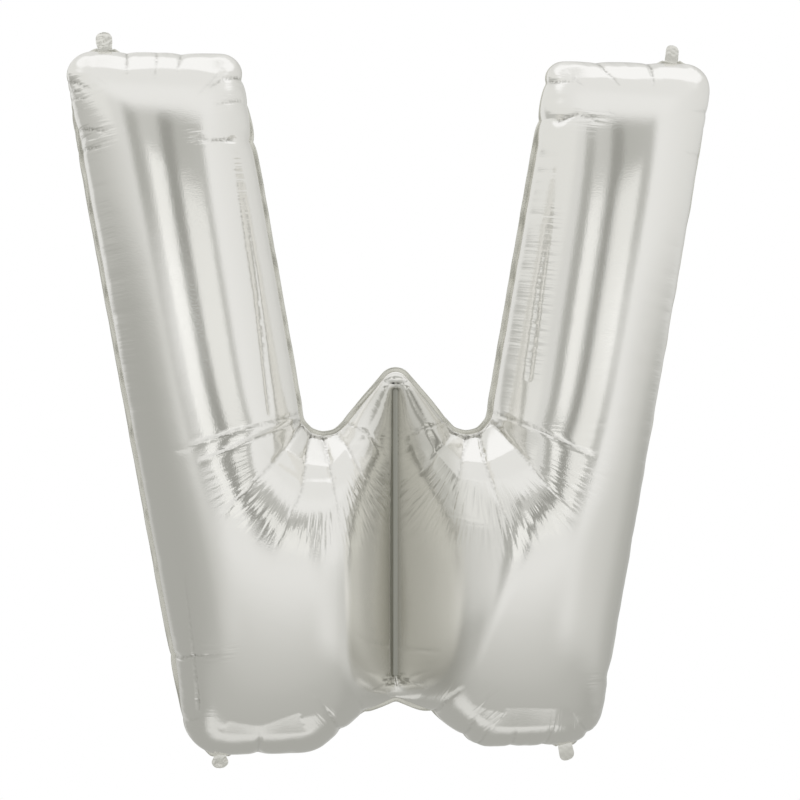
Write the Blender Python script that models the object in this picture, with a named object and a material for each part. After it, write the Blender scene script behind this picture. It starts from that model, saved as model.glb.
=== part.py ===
"""A letter W foil balloon, inflated: two metallised films sealed to each other round their edge.

Axes: +X to the letter's right, +Y away from its front, +Z up. The seam lies in the plane y = 0.
The origin is the centre of buoyancy: on the centre line, in the seam's plane, and as high as
the centroid of the gas.
"""
import math

import bmesh
import bpy
import numpy as np
from mathutils.geometry import delaunay_2d_cdt

# Driving dimensions of the inflated letter, in metres, measured over the seam
LETTER_HEIGHT = 0.880
ARM_TOP_OUTER = 0.416
ARM_TOP_INNER = 0.194
LOBE_BOTTOM_OUTER = 0.263
LOBE_BOTTOM_INNER = 0.103
CROTCH_X = 0.109
CROTCH_HEIGHT = 0.380
PEAK_HEIGHT = 0.500
NOTCH_HEIGHT = 0.063
BUOYANCY_HEIGHT = 0.394

# The right half's corners, from the bottom notch round to the middle peak
HALF_CORNERS = (
    # x, height above the bottom seam, radius of the rounded corner
    (0.000, NOTCH_HEIGHT, 0.010),
    (0.047, 0.043, 0.040),
    (LOBE_BOTTOM_INNER, 0.000, 0.045),
    (LOBE_BOTTOM_OUTER, 0.000, 0.040),
    (ARM_TOP_OUTER, LETTER_HEIGHT, 0.040),
    (ARM_TOP_INNER, LETTER_HEIGHT, 0.028),
    (CROTCH_X, CROTCH_HEIGHT, 0.026),
    (0.000, PEAK_HEIGHT, 0.022),
)

# The seam round the edge and the straight weld down the middle
SEAM_WIDTH = 0.005
SEAM_LAP = 0.003
WELD_WIDTH = 0.008
WELD_BOTTOM = 0.095
WELD_TOP = 0.461
WELD_END_RADIUS = 0.003

# The creases that fan out below the two crotches of the front film, from the arm's side to the
# weld's: how much of the facets shows at each, and its path in millimetres, x and z about the
# origin
LEFT_FAN = (
    (0.00, ((-116, 41), (-199, 23), (-276, -3))),
    (0.25, ((-122, 30), (-193, 8), (-250, -17))),
    (0.80, ((-116, 27), (-147, -5), (-182, -38), (-221, -78))),
    (1.00, ((-106, 18), (-116, -8), (-125, -49), (-152, -104))),
    (1.00, ((-93, 14), (-89, -25), (-79, -98))),
    (0.90, ((-80, 18), (-63, -5), (-46, -46))),
    (0.00, ((-66, 28), (-40, 14), (-10, -17))),
)
RIGHT_FAN = (
    (0.00, ((116, 41), (165, 20), (233, -15))),
    (0.80, ((117, 29), (137, 1), (167, -42), (200, -71))),
    (1.00, ((105, 17), (103, -18), (110, -54), (126, -96))),
    (1.00, ((90, 12), (75, -24), (60, -90))),
    (0.90, ((74, 17), (49, -9), (28, -41))),
    (0.00, ((57, 27), (30, 18), (9, 6))),
)
MILLIMETRE = 0.001

# Where the facets end along a crease, as shares of its length and at most so far from its
# root, and what part of the full film's height they lose there
FACET_ENDS = ((0.34, 0.040, 0.25), (0.52, 0.063, 0.20), (1.00, 0.118, 0.00))
CLEAR_OF_FACETS = 0.012

# The open valley beside the weld, wider on the front film's right: its widths, how much of
# the film's height it takes at the weld, and how steeply that fades across it
VALLEY_WIDE, VALLEY_WIDE_LOSS = 0.175, 0.72
VALLEY_NARROW, VALLEY_NARROW_LOSS = 0.085, 0.62
VALLEY_FADE = 1.8
VALLEY_WIDENS_FROM, VALLEY_WIDENS_TO = 0.03, -0.09
VALLEY_STARTS, VALLEY_IS_DEEP = 0.075, -0.03

# Thicknesses, heavier than the real film so that each sheet is a solid of its own
FILM_WALL = 0.0014
SEAM_THICKNESS = 0.0012
SHEET_GAP = 0.0003
FILM_RIM_Y = SEAM_THICKNESS / 2 + SHEET_GAP

# How finely the films are divided
EDGE_STEP = 0.028
GRID_STEP = 0.036
RING_INSETS = (0.003, 0.014)
ARC_STEP = math.radians(24)
SMALLEST_RADIUS = 0.001
SLIVER = 0.0002

# The tabs that hang from the seam; a lean is the tip's turn towards +X, in degrees
TABS = (
    # name, root's x, side of the letter, lean, width at the root, greatest width, length
    ("tab_top_left", -0.360, "top", -6.0, 0.0170, 0.0200, 0.0260),
    ("tab_top_right", 0.357, "top", 9.0, 0.0170, 0.0180, 0.0230),
    ("tail_bottom_left", -0.223, "bottom", 0.0, 0.0150, 0.0210, 0.0210),
    ("tab_bottom_right", 0.219, "bottom", 17.0, 0.0185, 0.0190, 0.0230),
)
TAB_THICKNESS = SEAM_THICKNESS
TAB_ROOT_ROUND = 0.9 * TAB_THICKNESS / 2
TAB_ROUND_SEGMENTS = 3

# The finishes: red, green, blue, metallic, roughness
FINISHES = {
    "silver_film": (0.78, 0.78, 0.75, 1.0, 0.18),
    "silver_seam": (0.70, 0.70, 0.66, 1.0, 0.30),
}


def clear_scene():
    """Remove every object that the scene starts with."""
    for item in list(bpy.data.objects):
        bpy.data.objects.remove(item, do_unlink=True)


def make_finish(name):
    """A Principled material from the table of finishes."""
    red, green, blue, metallic, roughness = FINISHES[name]
    finish = bpy.data.materials.new(name)
    finish.use_nodes = True
    shader = finish.node_tree.nodes["Principled BSDF"]
    shader.inputs["Base Color"].default_value = (red, green, blue, 1.0)
    shader.inputs["Metallic"].default_value = metallic
    shader.inputs["Roughness"].default_value = roughness
    return finish


def add_piece(name, bm, finish, location=(0.0, 0.0, 0.0)):
    """Put a finished bmesh in the scene as one named, smooth-shaded object."""
    mesh = bpy.data.meshes.new(name)
    bm.to_mesh(mesh)
    bm.free()
    mesh.materials.append(finish)
    mesh.shade_smooth()
    mesh.set_sharp_from_angle(angle=math.radians(35))
    piece = bpy.data.objects.new(name, mesh)
    piece.location = location
    bpy.context.scene.collection.objects.link(piece)
    return piece


def letter_corners():
    """All corners of the letter, anticlockwise seen from its front, about the origin's height."""
    right = [(x, height - BUOYANCY_HEIGHT, radius) for x, height, radius in HALF_CORNERS]
    left = [(-x, z, radius) for x, z, radius in reversed(right[1:-1])]
    return right + left


def weld_corners():
    """Corners of the centre weld, a narrow strip with rounded ends."""
    half = WELD_WIDTH / 2
    low = WELD_BOTTOM - BUOYANCY_HEIGHT
    high = WELD_TOP - BUOYANCY_HEIGHT
    return [(x, z, WELD_END_RADIUS) for x, z in ((-half, low), (half, low), (half, high), (-half, high))]


def inward(direction):
    """The direction turned a quarter turn anticlockwise, towards an outline's inside."""
    return np.array((-direction[1], direction[0]))


def rounded_loop(corners, inset=0.0, step=None):
    """Points round an outline with rounded corners, moved inward by inset.

    A step adds points along the straight stretches. Loops of the same corners and step match
    point for point, whatever their inset.
    """
    places = np.array([corner[:2] for corner in corners])
    radii = np.array([corner[2] for corner in corners])
    after = np.roll(places, -1, axis=0) - places
    lengths = np.linalg.norm(after, axis=1)
    after /= lengths[:, None]
    before = np.roll(after, 1, axis=0)
    starts, arcs, reaches = [], [], []
    for place, radius, entry, leave in zip(places, radii, before, after):
        turn = math.atan2(entry[0] * leave[1] - entry[1] * leave[0], entry @ leave)
        side = math.copysign(1.0, turn)
        shift = (inward(entry) + inward(leave)) / (1.0 + inward(entry) @ inward(leave))
        round_by = max(radius - side * inset, SMALLEST_RADIUS) if radius else 0.0
        reach = round_by * math.tan(abs(turn) / 2)
        start = place + shift * inset - entry * reach
        centre = start + side * inward(entry) * round_by
        count = max(2, math.ceil(abs(turn) / ARC_STEP)) if radius else 0
        arc = [start]
        for index in range(1, count + 1):
            angle = turn * index / count
            spoke = start - centre
            turned = (spoke[0] * math.cos(angle) - spoke[1] * math.sin(angle),
                      spoke[0] * math.sin(angle) + spoke[1] * math.cos(angle))
            arc.append(centre + np.array(turned))
        arcs.append(arc)
        starts.append(start)
        reaches.append(radius * math.tan(abs(turn) / 2))
    points = []
    for index, arc in enumerate(arcs):
        points.extend(arc)
        following = (index + 1) % len(arcs)
        straight = lengths[index] - reaches[index] - reaches[following]
        pieces = max(1, round(straight / step)) if step else 1
        for piece in range(1, pieces):
            points.append(arc[-1] + (starts[following] - arc[-1]) * piece / pieces)
    return np.array(points)


def inside_loop(points, loop):
    """Which of the points lie inside a closed loop."""
    ahead = np.roll(loop, -1, axis=0)
    x, z = points[:, None, 0], points[:, None, 1]
    crosses = (loop[:, 1] > z) != (ahead[:, 1] > z)
    rise = np.where(ahead[:, 1] == loop[:, 1], 1.0, ahead[:, 1] - loop[:, 1])
    meets = loop[:, 0] + (z - loop[:, 1]) * (ahead[:, 0] - loop[:, 0]) / rise
    return np.sum(crosses & (x < meets), axis=1) % 2 == 1


def distance_to_loop(points, loop):
    """Each point's distance to a closed loop."""
    ahead = np.roll(loop, -1, axis=0) - loop
    offset = points[:, None, :] - loop
    along = np.sum(offset * ahead, axis=2) / np.sum(ahead * ahead, axis=1)
    nearest = loop + np.clip(along, 0.0, 1.0)[:, :, None] * ahead
    return np.min(np.linalg.norm(points[:, None, :] - nearest, axis=2), axis=1)


def smooth_rise(values, start, end):
    """A smooth rise from 0 at start to 1 at end."""
    share = np.clip((values - start) / (end - start), 0.0, 1.0)
    return share * share * (3 - 2 * share)


def facet_corners(path):
    """Where the facets' rows end on a crease, as one row of x and z each."""
    route = np.array(path) * MILLIMETRE
    lengths = np.linalg.norm(np.diff(route, axis=0), axis=1)
    run = np.concatenate(([0.0], np.cumsum(lengths)))
    marks = [min(share * run[-1], most) for share, most, _ in FACET_ENDS]
    return np.column_stack([np.interp(marks, run, route[:, axis]) for axis in (0, 1)])


def fan_facets():
    """The facets' corners of both fans, the edges between them, and the fans' outlines."""
    corners, edges, outlines = [], [], []
    rows = len(FACET_ENDS)
    for fan in (LEFT_FAN, RIGHT_FAN):
        first = len(corners)
        creases = [facet_corners(path) for _, path in fan]
        for number, crease in enumerate(creases):
            base = first + number * rows
            corners.extend(crease)
            edges += [(base + row, base + row + 1) for row in range(rows - 1)]
            if number:
                edges += [(base + row - rows, base + row) for row in range(rows)]
        roots = [np.array(path[0]) * MILLIMETRE for _, path in (fan[0], fan[-1])]
        outlines.append(np.array([roots[0], *creases[0], *(crease[-1] for crease in creases[1:-1]),
                                  *creases[-1][::-1], roots[1]]))
    return np.array(corners), edges, outlines


def facet_loss():
    """What part of the full film's height is lost at each of the facets' corners."""
    return np.array([shown * loss for fan in (LEFT_FAN, RIGHT_FAN) for shown, _ in fan
                     for _, _, loss in FACET_ENDS])


def valley_share(points):
    """What part of the film's height the valley beside the weld leaves at each point."""
    x, z = points[:, 0], points[:, 1]
    widened = (VALLEY_WIDE - VALLEY_NARROW) * smooth_rise(z, VALLEY_WIDENS_FROM, VALLEY_WIDENS_TO)
    width = VALLEY_NARROW + np.where(x > 0, widened, 0.0)
    loss = np.where(x > 0, VALLEY_WIDE_LOSS, VALLEY_NARROW_LOSS)
    fade = np.clip(1 - np.abs(x) / width, 0.0, 1.0) ** VALLEY_FADE
    return 1 - loss * fade * smooth_rise(z, VALLEY_STARTS, VALLEY_IS_DEEP)


def film_plan():
    """The film's flat division: its points, its triangles, and its two rims as point numbers.

    The facets' corners follow the rims' points.
    """
    edge = rounded_loop(letter_corners(), SEAM_WIDTH, EDGE_STEP)
    slot = rounded_loop(weld_corners(), 0.0, EDGE_STEP)

    def clearance(points):
        return np.minimum(distance_to_loop(points, edge), distance_to_loop(points, slot))

    def in_film(points):
        return inside_loop(points, edge) & ~inside_loop(points, slot)

    corners, facet_edges, outlines = fan_facets()
    spread = []
    for ring in RING_INSETS:
        around = np.vstack((rounded_loop(letter_corners(), SEAM_WIDTH + ring, EDGE_STEP),
                            rounded_loop(weld_corners(), -ring, EDGE_STEP)))
        spread.append(around[in_film(around) & (clearance(around) > 0.9 * ring)])
    row_step = GRID_STEP * math.sqrt(3) / 2
    rows = math.ceil(LETTER_HEIGHT / row_step)
    columns = math.ceil(ARM_TOP_OUTER / GRID_STEP)
    grid = np.array([((column + 0.5 * (row % 2)) * GRID_STEP, row * row_step - BUOYANCY_HEIGHT)
                     for row in range(rows + 1) for column in range(-columns - 1, columns + 1)])
    keep_off = RING_INSETS[-1] + 0.6 * GRID_STEP
    spread.append(grid[in_film(grid) & (clearance(grid) > keep_off)])
    spread = np.vstack(spread)
    apart = np.linalg.norm(spread[:, None] - corners, axis=2).min(axis=1)
    kept = apart > CLEAR_OF_FACETS
    for outline in outlines:
        kept &= ~inside_loop(spread, outline)
    points = np.vstack((edge, slot, corners, spread[kept]))

    rims = [list(range(len(edge))), list(range(len(edge), len(edge) + len(slot)))]
    first = len(edge) + len(slot)
    borders = [(rim[index - 1], rim[index]) for rim in rims for index in range(len(rim))]
    borders += [(first + start, first + end) for start, end in facet_edges]
    found, _, faces, origins, _, _ = delaunay_2d_cdt([tuple(point) for point in points], borders,
                                                     [], 0, 1e-7)
    numbers = [origin[0] for origin in origins]
    triangles = np.array([[numbers[corner] for corner in face] for face in faces])
    middles = points[triangles].mean(axis=1)
    return points, triangles[in_film(middles) & (clearance(middles) > SLIVER)], rims


def inflated_height(points, triangles, rims):
    """Half of the balloon's thickness at each point of the film's plan.

    A membrane held along both rims and loaded evenly rises to u, and the square root of 2u is
    the half circle of a long tube and a rounded end at a closed one.
    """
    count = len(points)
    stiffness = np.zeros((count, count))
    load = np.zeros(count)
    for triangle in triangles:
        corner = points[triangle]
        sides = np.roll(corner, -2, axis=0) - np.roll(corner, -1, axis=0)
        area = abs(sides[0][0] * sides[1][1] - sides[0][1] * sides[1][0]) / 2
        stiffness[np.ix_(triangle, triangle)] += sides @ sides.T / (4 * area)
        load[triangle] += area / 3
    held = np.zeros(count, dtype=bool)
    for rim in rims:
        held[rim] = True
    free = np.flatnonzero(~held)
    rise = np.zeros(count)
    rise[free] = np.linalg.solve(stiffness[np.ix_(free, free)], load[free])
    return np.sqrt(2 * np.maximum(rise, 0.0))


def drawn_in(heights, points, rims):
    """The film's heights with the fans' facets sunk and the valley opened."""
    drawn = heights.copy()
    first = len(rims[0]) + len(rims[1])
    loss = facet_loss()
    drawn[first:first + len(loss)] *= 1 - loss
    return drawn * valley_share(points)


def outward_normals(points, triangles):
    """Unit normals at the points of a surface, from its triangles' areas."""
    corner = points[triangles]
    face = np.cross(corner[:, 1] - corner[:, 0], corner[:, 2] - corner[:, 0])
    normals = np.zeros_like(points)
    for index in range(3):
        np.add.at(normals, triangles[:, index], face)
    return normals / np.linalg.norm(normals, axis=1)[:, None]


def make_film(name, finish, plan, heights, facing):
    """One film: a thin shell over the plan, its rims flat against the seam and the weld.

    facing is -1 for the front film and +1 for the back one, which is the same sheet seen from
    behind, with left and right changed over.
    """
    points, triangles, rims = plan
    outer = np.column_stack((-facing * points[:, 0], facing * (heights + FILM_RIM_Y), points[:, 1]))
    towards_back = np.cross(outer[triangles[:, 1]] - outer[triangles[:, 0]],
                            outer[triangles[:, 2]] - outer[triangles[:, 0]])[:, 1]
    wrong_way = towards_back * facing < 0
    triangles = np.where(wrong_way[:, None], triangles[:, ::-1], triangles)
    inner = outer - outward_normals(outer, triangles) * FILM_WALL
    inner_rims = (rounded_loop(letter_corners(), SEAM_WIDTH + FILM_WALL, EDGE_STEP),
                  rounded_loop(weld_corners(), -FILM_WALL, EDGE_STEP))
    for rim, loop in zip(rims, inner_rims):
        level = np.full(len(loop), facing * FILM_RIM_Y)
        inner[rim] = np.column_stack((-facing * loop[:, 0], level, loop[:, 1]))

    bm = bmesh.new()
    outside = [bm.verts.new(place) for place in outer]
    inside = [bm.verts.new(place) for place in inner]
    for triangle in triangles:
        bm.faces.new([outside[corner] for corner in triangle])
        bm.faces.new([inside[corner] for corner in reversed(triangle)])
    for rim in rims:
        for start, end in zip(rim, rim[1:] + rim[:1]):
            bm.faces.new((outside[start], outside[end], inside[end], inside[start]))
    bmesh.ops.recalc_face_normals(bm, faces=bm.faces)
    return add_piece(name, bm, finish)


def extrude_flat(outline, hole, thickness):
    """A flat plate of the outline, with a hole if there is one, centred on the plane y = 0."""
    bm = bmesh.new()
    rims = []
    for y in (-thickness / 2, thickness / 2):
        loops = [outline] if hole is None else [outline, hole]
        rims.append([[bm.verts.new((x, y, z)) for x, z in loop] for loop in loops])
    for number in range(len(rims[0])):
        near, far = rims[0][number], rims[1][number]
        for index in range(len(near)):
            bm.faces.new((near[index - 1], near[index], far[index], far[index - 1]))
    for side in rims:
        if hole is None:
            bm.faces.new(side[0])
            continue
        for index in range(len(side[0])):
            bm.faces.new((side[0][index - 1], side[0][index], side[1][index], side[1][index - 1]))
    bmesh.ops.recalc_face_normals(bm, faces=bm.faces)
    return bm


def make_seam(finish):
    """The sealed band round the letter, between the two films' rims."""
    outline = rounded_loop(letter_corners())
    hole = rounded_loop(letter_corners(), SEAM_WIDTH + SEAM_LAP)
    return add_piece("edge_seam", extrude_flat(outline, hole, SEAM_THICKNESS), finish)


def make_weld(finish):
    """The straight weld that draws the films together down the middle of the letter."""
    outline = rounded_loop(weld_corners(), -SEAM_LAP)
    return add_piece("centre_weld", extrude_flat(outline, None, SEAM_THICKNESS), finish)


def tab_corners(lean, root_width, width, length):
    """Corners of a tab that stands up from its hinge line at z = 0 and leans by an angle."""
    root = -TAB_THICKNESS / 2
    shoulder = 0.45 * length
    tip_radius = 0.45 * width
    upright = [(-root_width / 2, root, 0.0), (root_width / 2, root, 0.0),
               (width / 2, shoulder, 0.3 * length), (width / 2, length, tip_radius),
               (-width / 2, length, tip_radius), (-width / 2, shoulder, 0.3 * length)]
    slope = math.tan(math.radians(lean))
    return [(x + slope * (z - root), z, radius) for x, z, radius in upright]


def make_tab(name, root_x, side, lean, root_width, width, length, finish):
    """A tab in line with the seam, its rounded root on its hinge's axis."""
    clear = SHEET_GAP + TAB_THICKNESS / 2
    if side == "top":
        hinge_height, turn, own_lean = LETTER_HEIGHT + clear, 0.0, lean
    else:
        hinge_height, turn, own_lean = -clear, math.pi, -lean
    outline = rounded_loop(tab_corners(own_lean, root_width, width, length))
    bm = extrude_flat(outline, None, TAB_THICKNESS)
    root_edges = [edge for edge in bm.edges
                  if all(abs(vert.co.z + TAB_THICKNESS / 2) < 1e-6 for vert in edge.verts)
                  and abs(edge.verts[0].co.y - edge.verts[1].co.y) < 1e-6]
    bmesh.ops.bevel(bm, geom=root_edges, offset=TAB_ROOT_ROUND, segments=TAB_ROUND_SEGMENTS,
                    profile=0.5, affect="EDGES")
    tab = add_piece(name, bm, finish, (root_x, 0.0, hinge_height - BUOYANCY_HEIGHT))
    tab.rotation_euler = (0.0, turn, 0.0)
    return tab


def main():
    """Build the balloon."""
    clear_scene()
    film = make_finish("silver_film")
    seam = make_finish("silver_seam")
    plan = film_plan()
    points, _, rims = plan
    heights = drawn_in(inflated_height(*plan), points, rims)
    make_film("front_film", film, plan, heights, -1)
    make_film("back_film", film, plan, heights, +1)
    make_seam(seam)
    make_weld(seam)
    for tab in TABS:
        make_tab(*tab, seam)


main()
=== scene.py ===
"""An inflated silver foil letter W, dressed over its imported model.

Lengths are in metres, in the model's own frame: +X to the letter's right, +Y away from its
front, +Z up, with the seam in the plane y = 0. The films, the band and the weld strip are
written point by point, because their creases and rims need edges in set places; the tabs start
as grids that are shaped and thickened with Blender's own tools.
"""

import logging
import math
from dataclasses import dataclass, field
from enum import Enum
from typing import Any, ClassVar

import bmesh
import bpy
import numpy as np
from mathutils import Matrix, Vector
from mathutils.geometry import delaunay_2d_cdt


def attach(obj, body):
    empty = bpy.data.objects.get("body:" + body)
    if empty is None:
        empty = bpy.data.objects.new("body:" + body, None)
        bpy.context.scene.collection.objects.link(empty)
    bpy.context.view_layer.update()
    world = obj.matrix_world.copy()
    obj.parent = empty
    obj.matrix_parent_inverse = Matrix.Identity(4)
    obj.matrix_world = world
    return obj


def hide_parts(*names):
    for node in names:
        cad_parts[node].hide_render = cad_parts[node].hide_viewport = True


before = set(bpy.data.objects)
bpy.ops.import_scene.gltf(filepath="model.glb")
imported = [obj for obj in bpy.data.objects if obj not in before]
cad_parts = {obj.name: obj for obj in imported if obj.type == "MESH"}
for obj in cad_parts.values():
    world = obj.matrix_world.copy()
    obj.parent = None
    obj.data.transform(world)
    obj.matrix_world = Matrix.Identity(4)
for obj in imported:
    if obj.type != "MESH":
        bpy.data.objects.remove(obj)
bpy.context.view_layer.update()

LOG = logging.getLogger("foil_letter")
MM = 0.001
SEAM_WIDTH = 5 * MM
SEAM_LAP = 3 * MM
WELD_HALF_WIDTH = 2.5 * MM
# The lines that the top and the bottom tabs fold about
TOP_HINGE = 0.4869
BOTTOM_HINGE = -0.3949
# Where the right crotch is deepest, and where its creases spread from; the left is its mirror
CROTCH = (95 * MM, 20 * MM)
FAN_CENTRE = (95 * MM, 25 * MM)
# The corners at the ends of a triangle's sides
SIDES = ((0, 1), (1, 2), (2, 0))
# How many points are set against a loop at a time, which keeps the tables of distances small
BATCH = 4000

Stops = tuple[tuple[float, float], ...]
Span = tuple[float, float]


class Side(Enum):
    """Which of the two films a piece belongs to, with the sign of its y."""

    FRONT = -1
    BACK = 1


def linear_colour(hex_code: str) -> tuple[float, float, float, float]:
    """Turn an sRGB hex colour into linear red, green, blue and a full alpha.

    Args:
        hex_code: six hex digits.

    Returns:
        The colour as Blender's sockets take it.
    """
    parts = [int(hex_code[index:index + 2], 16) / 255 for index in (0, 2, 4)]
    red, green, blue = (part / 12.92 if part <= 0.04045 else ((part + 0.055) / 1.055) ** 2.4
                        for part in parts)
    return red, green, blue, 1.0


def add_node(tree: bpy.types.NodeTree, kind: str, settings: dict[str, Any] | None = None,
             inputs: dict[Any, Any] | None = None) -> bpy.types.Node:
    """Add a node with its settings, and fill or link its inputs.

    Args:
        tree: the node tree that takes the node.
        kind: the node's Blender type.
        settings: its properties by name.
        inputs: a value, or another node's output, for each input by name or number.

    Returns:
        The new node.
    """
    node = tree.nodes.new(kind)
    for name, value in (settings or {}).items():
        setattr(node, name, value)
    for name, value in (inputs or {}).items():
        if isinstance(value, bpy.types.NodeSocket):
            tree.links.new(value, node.inputs[name])
        else:
            node.inputs[name].default_value = value
    return node


@dataclass(frozen=True)
class Corner:
    """A rounded corner of an outline."""

    x: float
    z: float
    radius: float


@dataclass(frozen=True)
class Outline:
    """A closed outline of straight sides and rounded corners, anticlockwise from the front."""

    corners: tuple[Corner, ...]

    def loop(self, inset: float, step: float) -> np.ndarray:
        """Points round the outline, which match point for point whatever the inset.

        Args:
            inset: how far the points are moved inward.
            step: the greatest distance between points of the outline itself.

        Returns:
            One row of x and z for each point.
        """
        places = np.array([(corner.x, corner.z) for corner in self.corners])
        ahead = np.roll(places, -1, axis=0) - places
        lengths = np.linalg.norm(ahead, axis=1)
        ahead /= lengths[:, None]
        arcs, starts, reaches = [], [], []
        for corner, place, entry, leave in zip(self.corners, places, np.roll(ahead, 1, axis=0),
                                               ahead):
            turn = math.atan2(entry[0] * leave[1] - entry[1] * leave[0], entry @ leave)
            side = math.copysign(1.0, turn)
            left_in, left_out = (np.array((-way[1], way[0])) for way in (entry, leave))
            radius = max(corner.radius - side * inset, MM)
            place = place + (left_in + left_out) / (1 + left_in @ left_out) * inset
            start = place - entry * radius * math.tan(abs(turn) / 2)
            centre = start + side * left_in * radius
            count = max(3, math.ceil(abs(turn) * corner.radius / step))
            angles = turn * np.arange(count + 1) / count
            spoke = start - centre
            arc = centre + np.column_stack((spoke[0] * np.cos(angles) - spoke[1] * np.sin(angles),
                                            spoke[0] * np.sin(angles) + spoke[1] * np.cos(angles)))
            arcs.append(arc)
            starts.append(start)
            reaches.append(corner.radius * math.tan(abs(turn) / 2))
        points = []
        for index, arc in enumerate(arcs):
            following = (index + 1) % len(arcs)
            straight = lengths[index] - reaches[index] - reaches[following]
            pieces = max(1, round(straight / step))
            share = np.arange(1, pieces)[:, None] / pieces
            points += [arc, arc[-1] + (starts[following] - arc[-1]) * share]
        return np.vstack(points)


def run_of(path: np.ndarray) -> np.ndarray:
    """How far along an open path each of its points lies."""
    return np.concatenate(([0.0], np.cumsum(np.linalg.norm(np.diff(path, axis=0), axis=1))))


def places_along(path: np.ndarray, marks: np.ndarray | list[float]) -> np.ndarray:
    """The places at some lengths along an open path."""
    run = run_of(path)
    return np.column_stack([np.interp(marks, run, path[:, axis]) for axis in (0, 1)])


def sides_of_loop(loop: np.ndarray) -> tuple[np.ndarray, np.ndarray, np.ndarray]:
    """The straight sides of a closed loop of points.

    Args:
        loop: the loop's points, in order.

    Returns:
        The step from each point to the next, its length, and how far along the loop it starts.
    """
    ahead = np.roll(loop, -1, axis=0) - loop
    lengths = np.linalg.norm(ahead, axis=1)
    return ahead, lengths, np.concatenate(([0.0], np.cumsum(lengths)[:-1]))


def nearest_on_path(points: np.ndarray, path: np.ndarray) -> tuple[np.ndarray, np.ndarray]:
    """Where an open path comes nearest to each point.

    Args:
        points: the points, one row of x and z each.
        path: the path's points, in order.

    Returns:
        The length along the path to its nearest place, and the distance to it.
    """
    run = np.zeros(len(points))
    gap = np.full(len(points), np.inf)
    done = 0.0
    for start, end in zip(path[:-1], path[1:]):
        way = end - start
        length = float(np.linalg.norm(way))
        share = np.clip((points - start) @ way / length ** 2, 0.0, 1.0)
        away = np.linalg.norm(points - start - share[:, None] * way, axis=1)
        closer = away < gap
        run = np.where(closer, done + share * length, run)
        gap = np.where(closer, away, gap)
        done += length
    return run, gap


def nearest_on_loop(points: np.ndarray, loop: np.ndarray) -> tuple[np.ndarray, np.ndarray]:
    """Where a closed loop of many points comes nearest to each point.

    Args:
        points: the points, one row of x and z each.
        loop: the loop's points, in order.

    Returns:
        The length along the loop to its nearest place, and the distance to it.
    """
    ahead, lengths, before = sides_of_loop(loop)
    run = np.zeros(len(points))
    gap = np.zeros(len(points))
    for first in range(0, len(points), BATCH):
        some = points[first:first + BATCH]
        squares = np.sum(some ** 2, axis=1)[:, None] + np.sum(loop ** 2, axis=1)
        best = np.argmin(squares - 2 * some @ loop.T, axis=1)
        choices = []
        for segment in (best, best - 1):
            start, way = loop[segment], ahead[segment]
            share = np.clip(np.sum((some - start) * way, axis=1) / lengths[segment] ** 2, 0.0, 1.0)
            away = np.linalg.norm(some - start - share[:, None] * way, axis=1)
            choices.append((away, before[segment] + share * lengths[segment]))
        here = choices[0][0] <= choices[1][0]
        gap[first:first + BATCH] = np.where(here, choices[0][0], choices[1][0])
        run[first:first + BATCH] = np.where(here, choices[0][1], choices[1][1])
    return run, gap


def inside_loop(points: np.ndarray, loop: np.ndarray) -> np.ndarray:
    """Which of the points lie inside a closed loop.

    Args:
        points: the points, one row of x and z each.
        loop: the loop's points, in order.

    Returns:
        True for each point inside.
    """
    ahead = np.roll(loop, -1, axis=0)
    rise = np.where(ahead[:, 1] == loop[:, 1], 1.0, ahead[:, 1] - loop[:, 1])
    slope = (ahead[:, 0] - loop[:, 0]) / rise
    inside = np.zeros(len(points), dtype=bool)
    for first in range(0, len(points), BATCH):
        x, z = points[first:first + BATCH, None, 0], points[first:first + BATCH, None, 1]
        crosses = (loop[:, 1] > z) != (ahead[:, 1] > z)
        meets = loop[:, 0] + (z - loop[:, 1]) * slope
        inside[first:first + BATCH] = np.sum(crosses & (x < meets), axis=1) % 2 == 1
    return inside


def ease(value: np.ndarray, low: float, high: float) -> np.ndarray:
    """A smooth rise from 0 at low to 1 at high."""
    share = np.clip((value - low) / (high - low), 0.0, 1.0)
    return share * share * (3 - 2 * share)


def make_object(name: str, points: np.ndarray, faces: list | np.ndarray) -> bpy.types.Object:
    """Put a mesh in the scene as a smooth-shaded object at the origin.

    Args:
        name: the piece's name.
        points: its vertices, one row of x, y and z each.
        faces: its faces, as vertex numbers.

    Returns:
        The new object.
    """
    mesh = bpy.data.meshes.new(name)
    mesh.from_pydata(points.tolist(), [], [list(map(int, face)) for face in faces])
    mesh.shade_smooth()
    piece = bpy.data.objects.new(name, mesh)
    bpy.context.scene.collection.objects.link(piece)
    return piece


def between_rings(count: int, one: int, other: int) -> list[tuple[int, int, int, int]]:
    """Four-sided faces that join two rings of a mesh whose points come ring by ring.

    Args:
        count: how many points each ring has.
        one: the first ring's number.
        other: the second ring's number.

    Returns:
        The faces, as vertex numbers.
    """
    return [(one * count + index, one * count + (index + 1) % count,
             other * count + (index + 1) % count, other * count + index)
            for index in range(count)]


def turn_outwards(piece: bpy.types.Object) -> None:
    """Turn a closed mesh's faces outwards.

    Args:
        piece: the object that holds the mesh.
    """
    bm = bmesh.new()
    bm.from_mesh(piece.data)
    bmesh.ops.recalc_face_normals(bm, faces=bm.faces)
    bm.to_mesh(piece.data)
    bm.free()


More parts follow.
